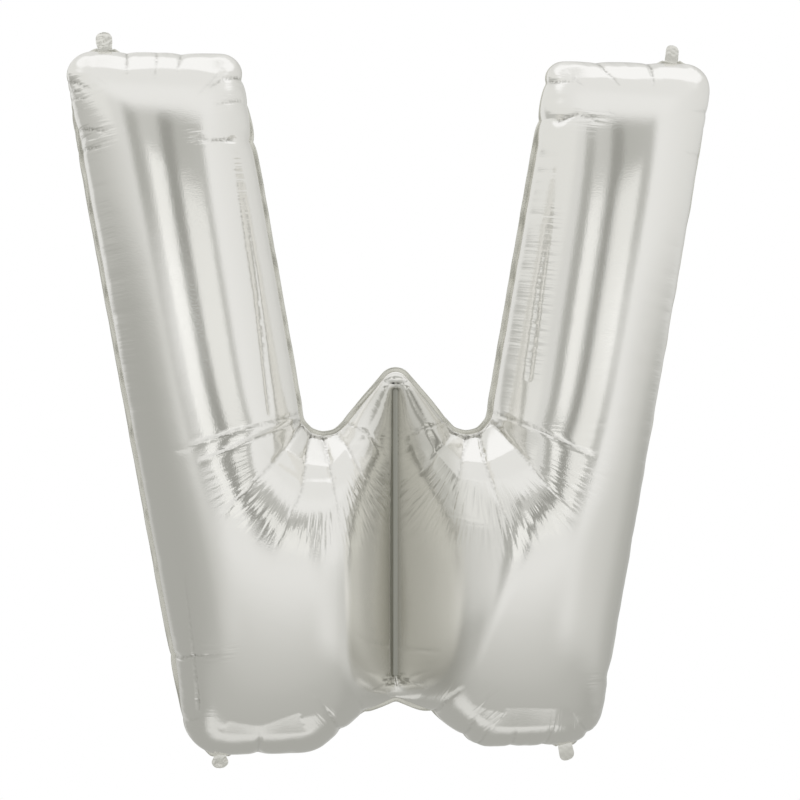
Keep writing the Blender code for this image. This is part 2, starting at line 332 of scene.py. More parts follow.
@dataclass(frozen=True)
class Fold:
    """A crease in a film, from its root at the seam inward.

    The path is in millimetres, x and z. A steepness is the slope of each flank at the crease,
    the widths are the flanks' widths at the root and the tip in millimetres, pull is how far
    the crease draws the seam inward, in millimetres, and dark is how dark the painted shade
    along its line is. A crease is led on past its root, over the seam, and has a sharp line,
    darkened with painted shade, with a set reach to each side.
    """

    path: tuple[tuple[float, float], ...]
    steep: float
    root_width: float
    tip_width: float
    pull: float = 0.0
    dark: float = 0.2
    lead: ClassVar[float] = 8 * MM
    line_reach: ClassVar[float] = 2.6 * MM

    def route(self) -> np.ndarray:
        """The crease's points in metres."""
        return np.array(self.path) * MM

    def mirrored(self) -> "Fold":
        """The same crease on the other film, which is seen from behind."""
        return Fold(tuple((-x, z) for x, z in self.path), self.steep, self.root_width,
                    self.tip_width, self.pull, self.dark)

    def press(self, points: np.ndarray) -> tuple[np.ndarray, np.ndarray]:
        """How the crease presses the film inward at each point.

        Args:
            points: places on the film's plan.

        Returns:
            Depths in metres, and how strongly the crease's line paints shade at each point, from 0
            to 1.
        """
        route = self.route()
        reach = max(self.root_width, self.tip_width) * MM
        low = route.min(axis=0) - reach - self.lead
        high = route.max(axis=0) + reach + self.lead
        near = np.flatnonzero(np.all((points > low) & (points < high), axis=1))
        depths, lines = np.zeros(len(points)), np.zeros(len(points))
        if not len(near):
            return depths, lines
        way = route[1] - route[0]
        full = np.vstack((route[0] - way / np.linalg.norm(way) * self.lead, route))
        run, gap = nearest_on_path(points[near], full)
        share = run / run_of(full)[-1]
        width = (self.root_width + (self.tip_width - self.root_width) * share) * MM
        fade = np.clip(1 - share, 0.0, 1.0) ** 0.6
        flank = np.clip(1 - gap / width, 0.0, 1.0) ** 2
        core = np.clip(1 - gap / self.line_reach, 0.0, 1.0)
        depths[near] = (0.5 * self.steep * width * flank + 0.9 * self.steep * MM * core) * fade
        lines[near] = self.dark * core * fade
        return depths, lines


# The right half of the seam's outer edge, from the bottom notch round to the middle peak
HALF_SEAM = (
    Corner(0.000, -0.331, 0.010),
    Corner(0.047, -0.351, 0.040),
    Corner(0.103, -0.394, 0.045),
    Corner(0.263, -0.394, 0.055),
    Corner(0.416, 0.486, 0.036),
    Corner(0.194, 0.486, 0.028),
    Corner(0.107, -0.017, 0.026),
    Corner(0.000, 0.107, 0.022),
)
SEAM_OUTLINE = Outline(HALF_SEAM + tuple(Corner(-corner.x, corner.z, corner.radius)
                                         for corner in reversed(HALF_SEAM[1:-1])))
WELD_OUTLINE = Outline(tuple(Corner(x, z, 2.4 * MM) for x, z in (
    (-WELD_HALF_WIDTH, -0.299), (WELD_HALF_WIDTH, -0.299),
    (WELD_HALF_WIDTH, 0.067), (-WELD_HALF_WIDTH, 0.067))))

# The creases that fan out below each crotch, from the arm's side to the weld's
LEFT_FAN_FOLDS = (
    Fold(((-116, 41), (-199, 23), (-276, -3)), 0.60, 3, 8, 0.6, 0.45),
    Fold(((-122, 30), (-193, 8), (-250, -17)), 0.55, 3, 7, 0.6, 0.45),
    Fold(((-116, 27), (-147, -5), (-182, -38), (-221, -78)), 0.65, 3.5, 7, 1.0, 0.45),
    Fold(((-106, 18), (-116, -8), (-125, -49), (-152, -104)), 0.55, 3.5, 6, 1.0, 0.45),
    Fold(((-93, 14), (-89, -25), (-79, -98)), 0.35, 3, 6, 0.8, 0.45),
    Fold(((-80, 18), (-63, -5), (-46, -46)), 0.65, 3.5, 6, 1.0, 0.45),
    Fold(((-66, 28), (-40, 14), (-10, -17)), 0.65, 3.5, 6, 1.0, 0.45),
)
RIGHT_FAN_FOLDS = (
    Fold(((116, 41), (165, 20), (233, -15)), 0.60, 3, 8, 0.6, 0.45),
    Fold(((117, 29), (137, 1), (167, -42), (200, -71)), 0.60, 3.5, 7, 1.0, 0.45),
    Fold(((105, 17), (103, -18), (110, -54), (126, -96)), 0.55, 3.5, 6, 1.0, 0.45),
    Fold(((90, 12), (75, -24), (60, -90)), 0.35, 3, 6, 0.8, 0.45),
    Fold(((74, 17), (49, -9), (28, -41)), 0.65, 3.5, 6, 1.0, 0.45),
    Fold(((57, 27), (30, 18), (9, 6)), 0.65, 3, 5, 1.0, 0.45),
)
FAN_FOLDS = LEFT_FAN_FOLDS + RIGHT_FAN_FOLDS
LEFT_FAN_HOLD = (0.0, 0.25, 0.8, 1.0, 1.0, 0.9, 0.0)
RIGHT_FAN_HOLD = (0.0, 0.8, 1.0, 1.0, 0.9, 0.0)
LEFT_FAN_REACH = (0.0, 0.1, 0.3, 0.45, 0.2, 0.2, 0.0)
RIGHT_FAN_REACH = (0.0, 0.35, 0.6, 0.5, 0.3, 0.0)

# The pinches at the arms' top ends, the lobes' bottoms and along the seams
PINCH_FOLDS = (
    Fold(((-333, 478), (-331, 446)), 0.45, 12, 3, 2.5, 0.9),
    Fold(((-296, 480), (-298, 440)), 0.20, 10, 3, 0.8, 0.5),
    Fold(((-267, 479), (-272, 450)), 0.45, 12, 3, 2.5, 0.9),
    Fold(((-197, 452), (-215, 447), (-234, 433)), 0.45, 11, 3, 4.0, 0.9),
    Fold(((-203, 420), (-227, 412)), 0.25, 8, 3, 2.0, 0.5),
    Fold(((-213, 370), (-233, 368), (-252, 369)), 0.35, 9, 3, 3.5, 0.9),
    Fold(((-405, 446), (-373, 431)), 0.40, 11, 3, 2.5, 0.9),
    Fold(((-403, 434), (-384, 428)), 0.35, 6, 3, 1.8, 0.9),
    Fold(((-400, 423), (-378, 419)), 0.35, 6, 3, 1.8, 0.9),
    Fold(((-398, 411), (-383, 408)), 0.30, 6, 3, 1.5),
    Fold(((-391, 385), (-353, 378)), 0.45, 6, 3, 1.2, 0.9),
    Fold(((-389, 373), (-366, 371)), 0.40, 5, 3, 0.8),
    Fold(((-386, 360), (-361, 361)), 0.45, 6, 3, 1.2, 0.9),
    Fold(((198, 455), (219, 451)), 0.45, 10, 3, 4.0, 0.9),
    Fold(((206, 405), (218, 409), (243, 399)), 0.45, 11, 3, 3.5, 0.9),
    Fold(((256, 480), (261, 464), (273, 444)), 0.45, 12, 3, 2.0, 0.9),
    Fold(((323, 481), (315, 444)), 0.45, 12, 3, 2.0, 0.9),
    Fold(((398, 420), (365, 416)), 0.25, 8, 3, 1.5),
    Fold(((384, 364), (360, 362)), 0.20, 7, 3, 0.8),
    Fold(((-280, -264), (-257, -253), (-221, -246)), 0.45, 12, 3, 2.0, 0.5),
    Fold(((-268, -345), (-245, -332)), 0.25, 9, 3, 1.5),
    Fold(((-250, -315), (-258, -225), (-266, -150)), 0.75, 6, 4),
    Fold(((-163, 50), (-166, 80), (-177, 190), (-200, 345)), 0.50, 6, 5),
    Fold(((158, 90), (172, 190), (186, 285)), 0.40, 6, 5),
    Fold(((-176, -388), (-177, -340)), 0.45, 14, 4, 3.5),
    Fold(((-69, -366), (-92, -326), (-108, -303)), 0.45, 14, 4, 4.5),
    Fold(((-40, -344), (-52, -316)), 0.35, 10, 3, 3.5),
    Fold(((46, -346), (61, -313), (80, -292)), 0.40, 13, 3, 4.5),
    Fold(((84, -379), (90, -343), (105, -304)), 0.40, 12, 3, 4.5),
    Fold(((104, -388), (112, -335)), 0.35, 11, 3, 1.5),
    Fold(((146, -388), (141, -352)), 0.25, 11, 3, 2.5),
    Fold(((188, -388), (191, -345)), 0.35, 12, 3, 2.5),
    Fold(((272, -303), (246, -298)), 0.25, 8, 3, 1.0),
    Fold(((244, -372), (226, -350)), 0.30, 10, 3, 4.5),
)

# Small creases beside the weld and under the knob at the peak
WELD_FOLDS = (
    Fold(((-29, 84), (-12, 77), (0, 73), (24, 82)), 0.45, 8, 8, 0.0, 0.4),
    Fold(((29, 84), (12, 77), (0, 73), (-24, 82)), 0.45, 8, 8, 0.0, 0.4),
    Fold(((-27, 78), (-12, 66)), 0.35, 5, 3),
    Fold(((28, 77), (13, 67)), 0.35, 5, 3),
    Fold(((11, -262), (50, -256)), 0.25, 5, 3),
    Fold(((-8, -303), (-34, -309)), 0.30, 6, 4),
    Fold(((8, -303), (36, -309)), 0.30, 6, 4),
)
FOLDS = FAN_FOLDS + PINCH_FOLDS + WELD_FOLDS


@dataclass
class FacetFan:
    """Flat facets between the creases of a fan, in three rows from the seam to the tips.

    Hold is how much of the facets shows at each crease, and reach how much of that is left at
    its tip. Rows are shares of a crease's length, most is the longest that each may be, and sink
    is how far the facets' corners lie under the full film. The edges are rounded by a blur that
    grows with the distance from the crotch, between the two lengths of softening, and the
    facets fade between the two rows of fading.
    """

    creases: tuple[Fold, ...]
    hold: tuple[float, ...]
    reach: tuple[float, ...]
    plan: "FilmPlan"
    rows: tuple[float, ...] = (0.0, 0.34, 0.52, 1.0)
    most: tuple[float, ...] = (0.0, 40 * MM, 63 * MM, 118 * MM)
    sink: tuple[float, ...] = (0.0, 0.25, 0.15, 0.0)
    fading: Span = (1.7, 2.7)
    blur: float = 1.4 * MM
    outer_blur: float = 9 * MM
    softening: Span = (58 * MM, 92 * MM)
    corners: np.ndarray = field(init=False)
    heights: np.ndarray = field(init=False)
    arches: np.ndarray = field(init=False)

    def __post_init__(self) -> None:
        """Place the facets' corners on the creases, a little under the full film."""
        places = []
        for crease in self.creases:
            route = crease.route()
            length = run_of(route)[-1]
            marks = [min(row * length, limit) for row, limit in zip(self.rows, self.most)]
            places.append(places_along(route, marks))
        self.corners = np.array(places)
        full = self.full_height(self.corners.reshape(-1, 2)).reshape(self.corners.shape[:2])
        self.heights = full * (1 - np.array(self.sink))
        self.heights[:, 0] = 0.0
        outer = self.corners[:, 3]
        middles = self.full_height((outer[1:] + outer[:-1]) / 2)
        self.arches = middles - (self.heights[1:, 3] + self.heights[:-1, 3]) / 2

    def full_height(self, places: np.ndarray) -> np.ndarray:
        """The full film's height at a few places on the plan.

        Args:
            places: the places, one row of x and z each.

        Returns:
            The heights, averaged over the plan's four nearest points.
        """
        away = np.linalg.norm(places[:, None] - self.plan.points[None], axis=2)
        order = np.argsort(away, axis=1)[:, :4]
        weights = 1 / (np.take_along_axis(away, order, axis=1) + 0.1 * MM)
        return np.sum(self.plan.height[order] * weights, axis=1) / weights.sum(axis=1)

    def sample(self, points: np.ndarray, height: np.ndarray) -> np.ndarray:
        """How far the facets lie below the full film at each point.

        Args:
            points: places on the film's plan.
            height: the full film's height there.

        Returns:
            Depths in metres, nought outside the fan.
        """
        sunk = np.zeros(len(points))
        for crease in range(len(self.creases) - 1):
            for row in range(3):
                square = [(crease, row), (crease + 1, row),
                          (crease + 1, row + 1), (crease, row + 1)]
                for three in ((0, 1, 2), (0, 2, 3)):
                    ends = [square[index] for index in three]
                    first, second, third = (self.corners[end] for end in ends)
                    one, two = second - first, third - first
                    size = one[0] * two[1] - one[1] * two[0]
                    away = points - first
                    share = (away[:, 0] * two[1] - away[:, 1] * two[0]) / size
                    other = (one[0] * away[:, 1] - one[1] * away[:, 0]) / size
                    here = (share >= 0) & (other >= 0) & (share + other <= 1)
                    parts = np.column_stack((1 - share - other, share, other))[here]
                    flat = parts @ np.array([self.heights[end] for end in ends])
                    place = parts @ np.array([end[1] for end in ends], dtype=float)
                    turn = parts @ np.array([end[0] for end in ends], dtype=float)
                    arch = 4 * (turn - crease) * (crease + 1 - turn) * self.arches[crease]
                    flat += arch * np.clip(place - 2, 0.0, 1.0) ** 2
                    hold = np.interp(turn, range(len(self.hold)), self.hold)
                    tip = np.interp(turn, range(len(self.reach)), self.reach)
                    hold = hold + (tip - hold) * ease(place, *self.fading)
                    sunk[here] = hold * (height[here] - flat)
        return sunk

    def depth(self, points: np.ndarray, height: np.ndarray) -> np.ndarray:
        """The facets' depth below the full film, with their edges rounded a little.

        Args:
            points: places on the film's plan.
            height: the full film's height there.

        Returns:
            Depths in metres.
        """
        low = self.corners.min(axis=(0, 1)) - 2 * self.outer_blur
        high = self.corners.max(axis=(0, 1)) + 2 * self.outer_blur
        near = np.flatnonzero(np.all((points > low) & (points < high), axis=1))
        some, full = points[near], height[near]
        turns = np.arange(8) * math.pi / 4
        spokes = np.column_stack((np.cos(turns), np.sin(turns)))
        sharp = np.vstack(((0.0, 0.0), spokes[::2])) * self.blur
        soft = np.vstack((spokes, 0.5 * spokes[::2], (0.0, 0.0))) * self.outer_blur
        close, wide = (sum(self.sample(some + move, full) for move in moves) / len(moves)
                       for moves in (sharp, soft))
        middle = self.corners[:, 0].mean(axis=0)
        share = ease(np.linalg.norm(some - middle, axis=1), *self.softening)
        depths = np.zeros(len(points))
        depths[near] = close + (wide - close) * share
        return depths


@dataclass(frozen=True)
class Valley:
    """The open valley that the weld draws between the lobes, wider on one side.

    It starts between two depths below the letter's origin, its wide side opens between two
    more, and that side closes again, nearly, between the last two.
    """

    wide: float = 155 * MM
    narrow: float = 85 * MM
    closing: float = 0.9
    wide_share: float = 0.70
    narrow_share: float = 0.62
    bend: float = 1.8
    starts: Span = (-80 * MM, 10 * MM)
    opens: Span = (-30 * MM, 90 * MM)
    closes: Span = (80 * MM, 300 * MM)

    def share(self, points: np.ndarray) -> np.ndarray:
        """What part of the full film's height is left beside the weld.

        Args:
            points: places on the film's plan, seen from its own side.

        Returns:
            The part for each point, 1 away from the valley.
        """
        down = -points[:, 1]
        opening = ease(down, *self.opens) * (1 - self.closing * ease(down, *self.closes))
        side = points[:, 0] > 0
        width = np.where(side, self.narrow + (self.wide - self.narrow) * opening, self.narrow)
        lost = np.where(side, self.wide_share, self.narrow_share)
        left = np.clip(1 - np.abs(points[:, 0]) / width, 0.0, 1.0) ** self.bend
        return 1 - lost * left * ease(down, *self.starts)


@dataclass(frozen=True)
class EdgePanels:
    """Flat panels between the pinches at the arms' ends and the lobes' bottoms.

    Each stretch lists places on the seam, x and z in millimetres, with how far a panel reaches
    from the seam there; a panel starts a set distance from the seam.
    """

    start: float
    round_radius: float
    stretches: tuple[tuple[tuple[float, float, float], ...], ...]

    def share(self, base: np.ndarray, run: np.ndarray, gap: np.ndarray) -> np.ndarray:
        """What part of the round film's height the panels leave.

        Args:
            base: the seam's points.
            run: the length along the seam to the place nearest to each point.
            gap: each point's distance from the seam.

        Returns:
            The part for each point, 1 away from the panels.
        """
        share = np.ones(len(run))
        for stretch in self.stretches:
            places = np.array([(x, z) for x, z, _ in stretch]) * MM
            marks = nearest_on_loop(places, base)[0]
            order = np.argsort(marks)
            ends = np.array([end for _, _, end in stretch])[order] * MM
            end = np.interp(run, marks[order], ends, left=0.0, right=0.0)
            end = np.maximum(end, self.start + 0.5 * MM)
            low, high = self.height(np.full(len(run), self.start)), self.height(end)
            chord = low + (high - low) * (gap - self.start) / (end - self.start)
            inside = (gap > self.start) & (gap < end)
            share = np.where(inside, chord / self.height(gap), share)
        return share

    def height(self, gap: np.ndarray) -> np.ndarray:
        """The height of a round edge at a distance from the seam."""
        gap = np.clip(gap, 0.1 * MM, self.round_radius)
        return np.sqrt(2 * self.round_radius * gap - gap * gap)


END_PANELS = EdgePanels(9 * MM, 110 * MM, (
    ((-410, 462, 9), (-385, 478, 22), (-333, 480, 28), (-296, 480, 24), (-267, 480, 23),
     (-222, 478, 30), (-197, 455, 9)),
    ((198, 455, 9), (220, 478, 27), (261, 480, 24), (290, 480, 27), (323, 480, 23),
     (385, 478, 26), (410, 462, 9)),
))
BOTTOM_PANELS = EdgePanels(37 * MM, 130 * MM, (
    ((-272, -335, 37), (-250, -380, 64), (-176, -389, 50), (-150, -389, 62), (-120, -385, 72),
     (-95, -378, 64), (-60, -358, 37)),
    ((50, -352, 37), (84, -378, 58), (104, -389, 66), (146, -389, 68), (188, -389, 64),
     (240, -380, 58), (272, -340, 37)),
))


@dataclass
class Puckers:
    """Small gathers all along the seam, where the film has more length than its edge.

    Each one starts a set rise from the seam, is deepest there and fades over its reach.
    """

    length: float
    spacing: float
    height: float
    reach: float
    seed: int
    rise: float = 4 * MM
    marks: np.ndarray = field(init=False)
    sizes: np.ndarray = field(init=False)

    def __post_init__(self) -> None:
        """Choose where each gather lies and how strong it is."""
        chance = np.random.default_rng(self.seed)
        count = int(self.length / self.spacing)
        places = (np.arange(count) + chance.uniform(-0.35, 0.35, count)) * self.length / count
        self.marks = np.sort(places)
        self.sizes = chance.uniform(0.25, 1.0, count)

    def depth(self, run: np.ndarray, gap: np.ndarray) -> np.ndarray:
        """How far the gathers press the film inward.

        Args:
            run: the length along the seam to the place nearest to each point.
            gap: each point's distance from the seam.

        Returns:
            Depths in metres.
        """
        before = np.searchsorted(self.marks, run) % len(self.marks)
        deepest = np.zeros(len(run))
        for shift in (-1, 0):
            number = (before + shift) % len(self.marks)
            away = np.abs(run - self.marks[number])
            away = np.minimum(away, self.length - away)
            notch = np.clip(1 - away / (0.5 * self.spacing), 0.0, 1.0) ** 2
            deepest = np.maximum(deepest, notch * self.sizes[number])
        past = np.maximum(gap - self.rise, 0.0)
        fade = ease(gap, 0.0, self.rise) * np.exp(-past / self.reach)
        return self.height * deepest * fade


@dataclass
class SeamLine:
    """The line where the films meet, drawn in by the creases and gathered between them.

    It swells at the arms' ends and the lobes' bottoms. Each crease's pull dies out over a length
    along the seam, and what moves the seam dies out over a length inward, in the plan and
    across it. The waves are pairs of a count all the way round and a size in millimetres, of
    which one share moves the seam in its plane and another makes it sway out of it.
    """

    step: float
    swell: float = 3 * MM
    pull_reach: float = 8 * MM
    plan_reach: float = 14 * MM
    sway_reach: float = 5 * MM
    top_ends: Span = (370 * MM, 430 * MM)
    low_ends: Span = (280 * MM, 340 * MM)
    beside_notch: Span = (30 * MM, 60 * MM)
    beside_tab: float = 12 * MM
    waves: tuple[tuple[int, float], ...] = ((41, 0.5), (67, 0.4), (113, 0.3))
    plan_share: float = 0.2
    sway_share: float = 0.6
    seed: int = 11
    base: np.ndarray = field(init=False)
    run: np.ndarray = field(init=False)
    length: float = field(init=False)
    out: np.ndarray = field(init=False)
    ends: np.ndarray = field(init=False)
    shift: np.ndarray = field(init=False)
    sway: np.ndarray = field(init=False)

    def __post_init__(self) -> None:
        """Work out how far the seam moves in its plane and out of it, all the way round."""
        self.base = SEAM_OUTLINE.loop(SEAM_WIDTH, self.step)
        ahead, lengths, self.run = sides_of_loop(self.base)
        self.length = float(lengths.sum())
        way = ahead / lengths[:, None]
        way = way + np.roll(way, 1, axis=0)
        way /= np.linalg.norm(way, axis=1)[:, None]
        self.out = np.column_stack((way[:, 1], -way[:, 0]))
        chance = np.random.default_rng(self.seed)
        x, z = self.base.T
        self.ends = ease(-z, *self.low_ends) * ease(np.abs(x), *self.beside_notch)
        self.ends += ease(z, *self.top_ends)
        self.shift = self.swell * self.ends
        for tab in TABS:
            half = 0.5 * tab.root_width
            beside = ease(np.abs(x - tab.root_x), half, half + self.beside_tab)
            self.ends = np.where(z * tab.side > 0, self.ends * beside, self.ends)
        self.sway = np.zeros(len(self.base))
        for fold in FAN_FOLDS + PINCH_FOLDS:
            root = nearest_on_loop(fold.route()[:1], self.base)[0][0]
            away = np.abs(self.run - root)
            away = np.minimum(away, self.length - away)
            self.shift -= fold.pull * MM * np.exp(-away / self.pull_reach)
        for waves, size in self.waves:
            phase = chance.uniform(0, 2 * math.pi, 2)
            turn = 2 * math.pi * waves * self.run / self.length
            self.shift += self.plan_share * size * MM * np.sin(turn + phase[0])
            self.sway += self.sway_share * size * MM * np.sin(turn + phase[1])

    def at(self, run: np.ndarray, values: np.ndarray) -> np.ndarray:
        """What the seam has at some lengths along it.

        Args:
            run: the lengths.
            values: one row for each of the seam's points, or one number.

        Returns:
            One row, or one number, for each length.
        """
        columns = values.reshape(len(values), -1)
        found = [np.interp(run, self.run, column, period=self.length) for column in columns.T]
        return np.column_stack(found) if values.ndim > 1 else found[0]

    def move(self, points: np.ndarray, run: np.ndarray, gap: np.ndarray) -> np.ndarray:
        """Move points of the plan with the seam, less and less with their distance from it.

        Args:
            points: x, y and z of each point.
            run: the length along the seam to its nearest place.
            gap: the distance to it.

        Returns:
            The moved points.
        """
        near = np.exp(-gap / self.plan_reach)
        out = self.at(run, self.out) * (self.at(run, self.shift) * near)[:, None]
        sway = self.at(run, self.sway) * np.exp(-gap / self.sway_reach)
        return points + np.column_stack((out[:, 0], sway, out[:, 1]))


@dataclass
class FilmPlan:
    """The letter's flat plan, divided finely, and how high the gas lifts the films over it.

    Rings of points follow the seam and the weld at set distances, creases stop a little short
    of them, and triangles thinner than a sliver there are left out.
    """

    step: float
    rings: tuple[float, ...] = (0.4 * MM, 1.6 * MM, 3.6 * MM, 6.5 * MM, 10.5 * MM)
    keep_off: float = 3.0 * MM
    sliver: float = 0.1 * MM
    half_width: float = 420 * MM
    most_rounds: int = 3000
    error: float = 1e-12
    edge: np.ndarray = field(init=False)
    slot: np.ndarray = field(init=False)
    points: np.ndarray = field(init=False)
    triangles: np.ndarray = field(init=False)
    rim: np.ndarray = field(init=False)
    height: np.ndarray = field(init=False)

    def __post_init__(self) -> None:
        """Divide the plan, then find the films' height."""
        self.edge = SEAM_OUTLINE.loop(SEAM_WIDTH, self.step)
        self.slot = WELD_OUTLINE.loop(0.0, self.step)
        self.divide()
        self.split_in_four()
        self.inflate()

    def clearance(self, places: np.ndarray) -> np.ndarray:
        """Distance to the seam or the weld, whichever is nearer."""
        return np.minimum(nearest_on_loop(places, self.edge)[1],
                          nearest_on_loop(places, self.slot)[1])

    def in_film(self, places: np.ndarray) -> np.ndarray:
        """Which places lie between the seam and the weld."""
        return inside_loop(places, self.edge) & ~inside_loop(places, self.slot)

    def divide(self) -> None:
        """Triangulate the plan with edges along the seam, the weld and every crease."""
        routes = []
        for fold in FOLDS + tuple(fold.mirrored() for fold in FOLDS):
            route = self.dotted(fold.route())
            kept = self.in_film(route) & (self.clearance(route) > self.keep_off)
            routes.append(route[kept])
        edge, slot = len(self.edge), len(self.slot)
        borders = [((index - 1) % edge, index) for index in range(edge)]
        borders += [(edge + (index - 1) % slot, edge + index) for index in range(slot)]
        base = edge + slot
        for route in routes:
            borders += [(base + index, base + index + 1) for index in range(len(route) - 1)]
            base += len(route)
        everything = np.vstack([self.edge, self.slot] + routes + [self.scattered(routes)])
        found, _, faces, _, _, _ = delaunay_2d_cdt([tuple(point) for point in everything], borders,
                                                   [], 0, 1e-7)
        places = np.array([tuple(point) for point in found])
        triangles = np.array([tuple(face) for face in faces])
        middles = places[triangles].mean(axis=1)
        kept = self.in_film(middles) & (self.clearance(middles) > self.sliver)
        used, triangles = np.unique(triangles[kept], return_inverse=True)
        self.points = places[used]
        self.triangles = triangles.reshape(-1, 3)

    def scattered(self, routes: list[np.ndarray]) -> np.ndarray:
        """Points that fill the film between its borders and its creases.

        Args:
            routes: each crease's points.

        Returns:
            Rings along the borders, where the film rises most steeply, and a grid for the rest.
        """
        spread = []
        for ring in self.rings:
            around = np.vstack((SEAM_OUTLINE.loop(SEAM_WIDTH + ring, self.step),
                                WELD_OUTLINE.loop(-ring, self.step)))
            clear = self.in_film(around) & (self.clearance(around) > 0.9 * ring)
            spread.append(around[clear])
        heights = [corner.z for corner in HALF_SEAM]
        rows = np.arange(min(heights), max(heights), self.step * math.sqrt(3) / 2)
        columns = np.arange(-self.half_width, self.half_width, self.step)
        grid = np.vstack([np.column_stack((columns + 0.5 * self.step * (number % 2),
                                           np.full(len(columns), z)))
                          for number, z in enumerate(rows)])
        grid = grid[self.in_film(grid)]
        grid = grid[self.clearance(grid) > self.rings[-1] + 0.6 * self.step]
        spread = np.vstack(spread + [grid])
        # Points crowded by a crease go, so that its own points make the triangles there
        nearest = np.full(len(spread), np.inf)
        for route in routes:
            if len(route) > 1:
                nearest = np.minimum(nearest, nearest_on_path(spread, route)[1])
        crowded = (nearest < 0.55 * self.step) & (self.clearance(spread) > self.keep_off)
        return spread[~crowded]

    def dotted(self, route: np.ndarray) -> np.ndarray:
        """A crease's path with a point at about every step.

        Args:
            route: the path's few points.

        Returns:
            Points evenly along it.
        """
        length = run_of(route)[-1]
        count = max(2, round(length / (0.8 * self.step)) + 1)
        return places_along(route, np.linspace(0.0, length, count))

    def sides(self) -> np.ndarray:
        """The ends of all triangles' sides, each pair in rising order."""
        return np.sort(np.vstack([self.triangles[:, pair] for pair in SIDES]), axis=1)

    def split_in_four(self) -> None:
        """Split each triangle in four at its sides' middles."""
        unique, numbers = np.unique(self.sides(), axis=0, return_inverse=True)
        numbers = numbers.reshape(3, -1) + len(self.points)
        first, second, third = self.triangles.T
        one, two, three = numbers
        self.points = np.vstack((self.points, self.points[unique].mean(axis=1)))
        self.triangles = np.vstack([np.column_stack(part) for part in (
            (first, one, three), (one, second, two), (three, two, third), (one, two, three))])

    def inflate(self) -> None:
        """Find half of the balloon's thickness at each point.

        A membrane held along seam and weld and loaded evenly rises to u, and the square root
        of 2u is the half circle of a long tube and a rounded end at a closed one.
        """
        sides = self.sides()
        _, first, uses = np.unique(sides, axis=0, return_index=True, return_counts=True)
        self.rim = np.unique(sides[first[uses == 1]])
        corner = self.points[self.triangles]
        opposite = np.roll(corner, -2, axis=1) - np.roll(corner, -1, axis=1)
        one, other = opposite[:, 0], opposite[:, 1]
        area = np.abs(one[:, 0] * other[:, 1] - one[:, 1] * other[:, 0]) / 2
        load = np.zeros(len(self.points))
        for index in range(3):
            np.add.at(load, self.triangles[:, index], area / 3)
        starts, ends, stiff = [], [], []
        for one, two in SIDES:
            starts.append(self.triangles[:, one])
            ends.append(self.triangles[:, two])
            stiff.append(np.sum(opposite[:, one] * opposite[:, two], axis=1) / (4 * area))
        starts, ends, stiff = (np.concatenate(part) for part in (starts, ends, stiff))
        count = len(self.points)
        total = np.bincount(starts, stiff, count) + np.bincount(ends, stiff, count)
        free = np.ones(count)
        free[self.rim] = 0.0

        def pulled(rise: np.ndarray) -> np.ndarray:
            """The membrane's resistance to a rise.

            Args:
                rise: each point's rise.

            Returns:
                The force that resists it, nought where the membrane is held.
            """
            force = np.bincount(starts, stiff * rise[ends], count)
            force += np.bincount(ends, stiff * rise[starts], count)
            return free * (force - total * rise)

        scale = -np.where(total < 0, total, -1.0)
        rise = np.zeros(count)
        left = free * load
        ready = left / scale
        way = ready.copy()
        size = left @ ready
        goal = size * self.error
        for _ in range(self.most_rounds):
            force = pulled(way)
            length = size / (way @ force)
            rise += length * way
            left -= length * force
            ready = left / scale
            fresh = left @ ready
            if fresh < goal:
                break
            way = ready + fresh / size * way
            size = fresh
        self.height = np.sqrt(2 * np.maximum(rise, 0.0))


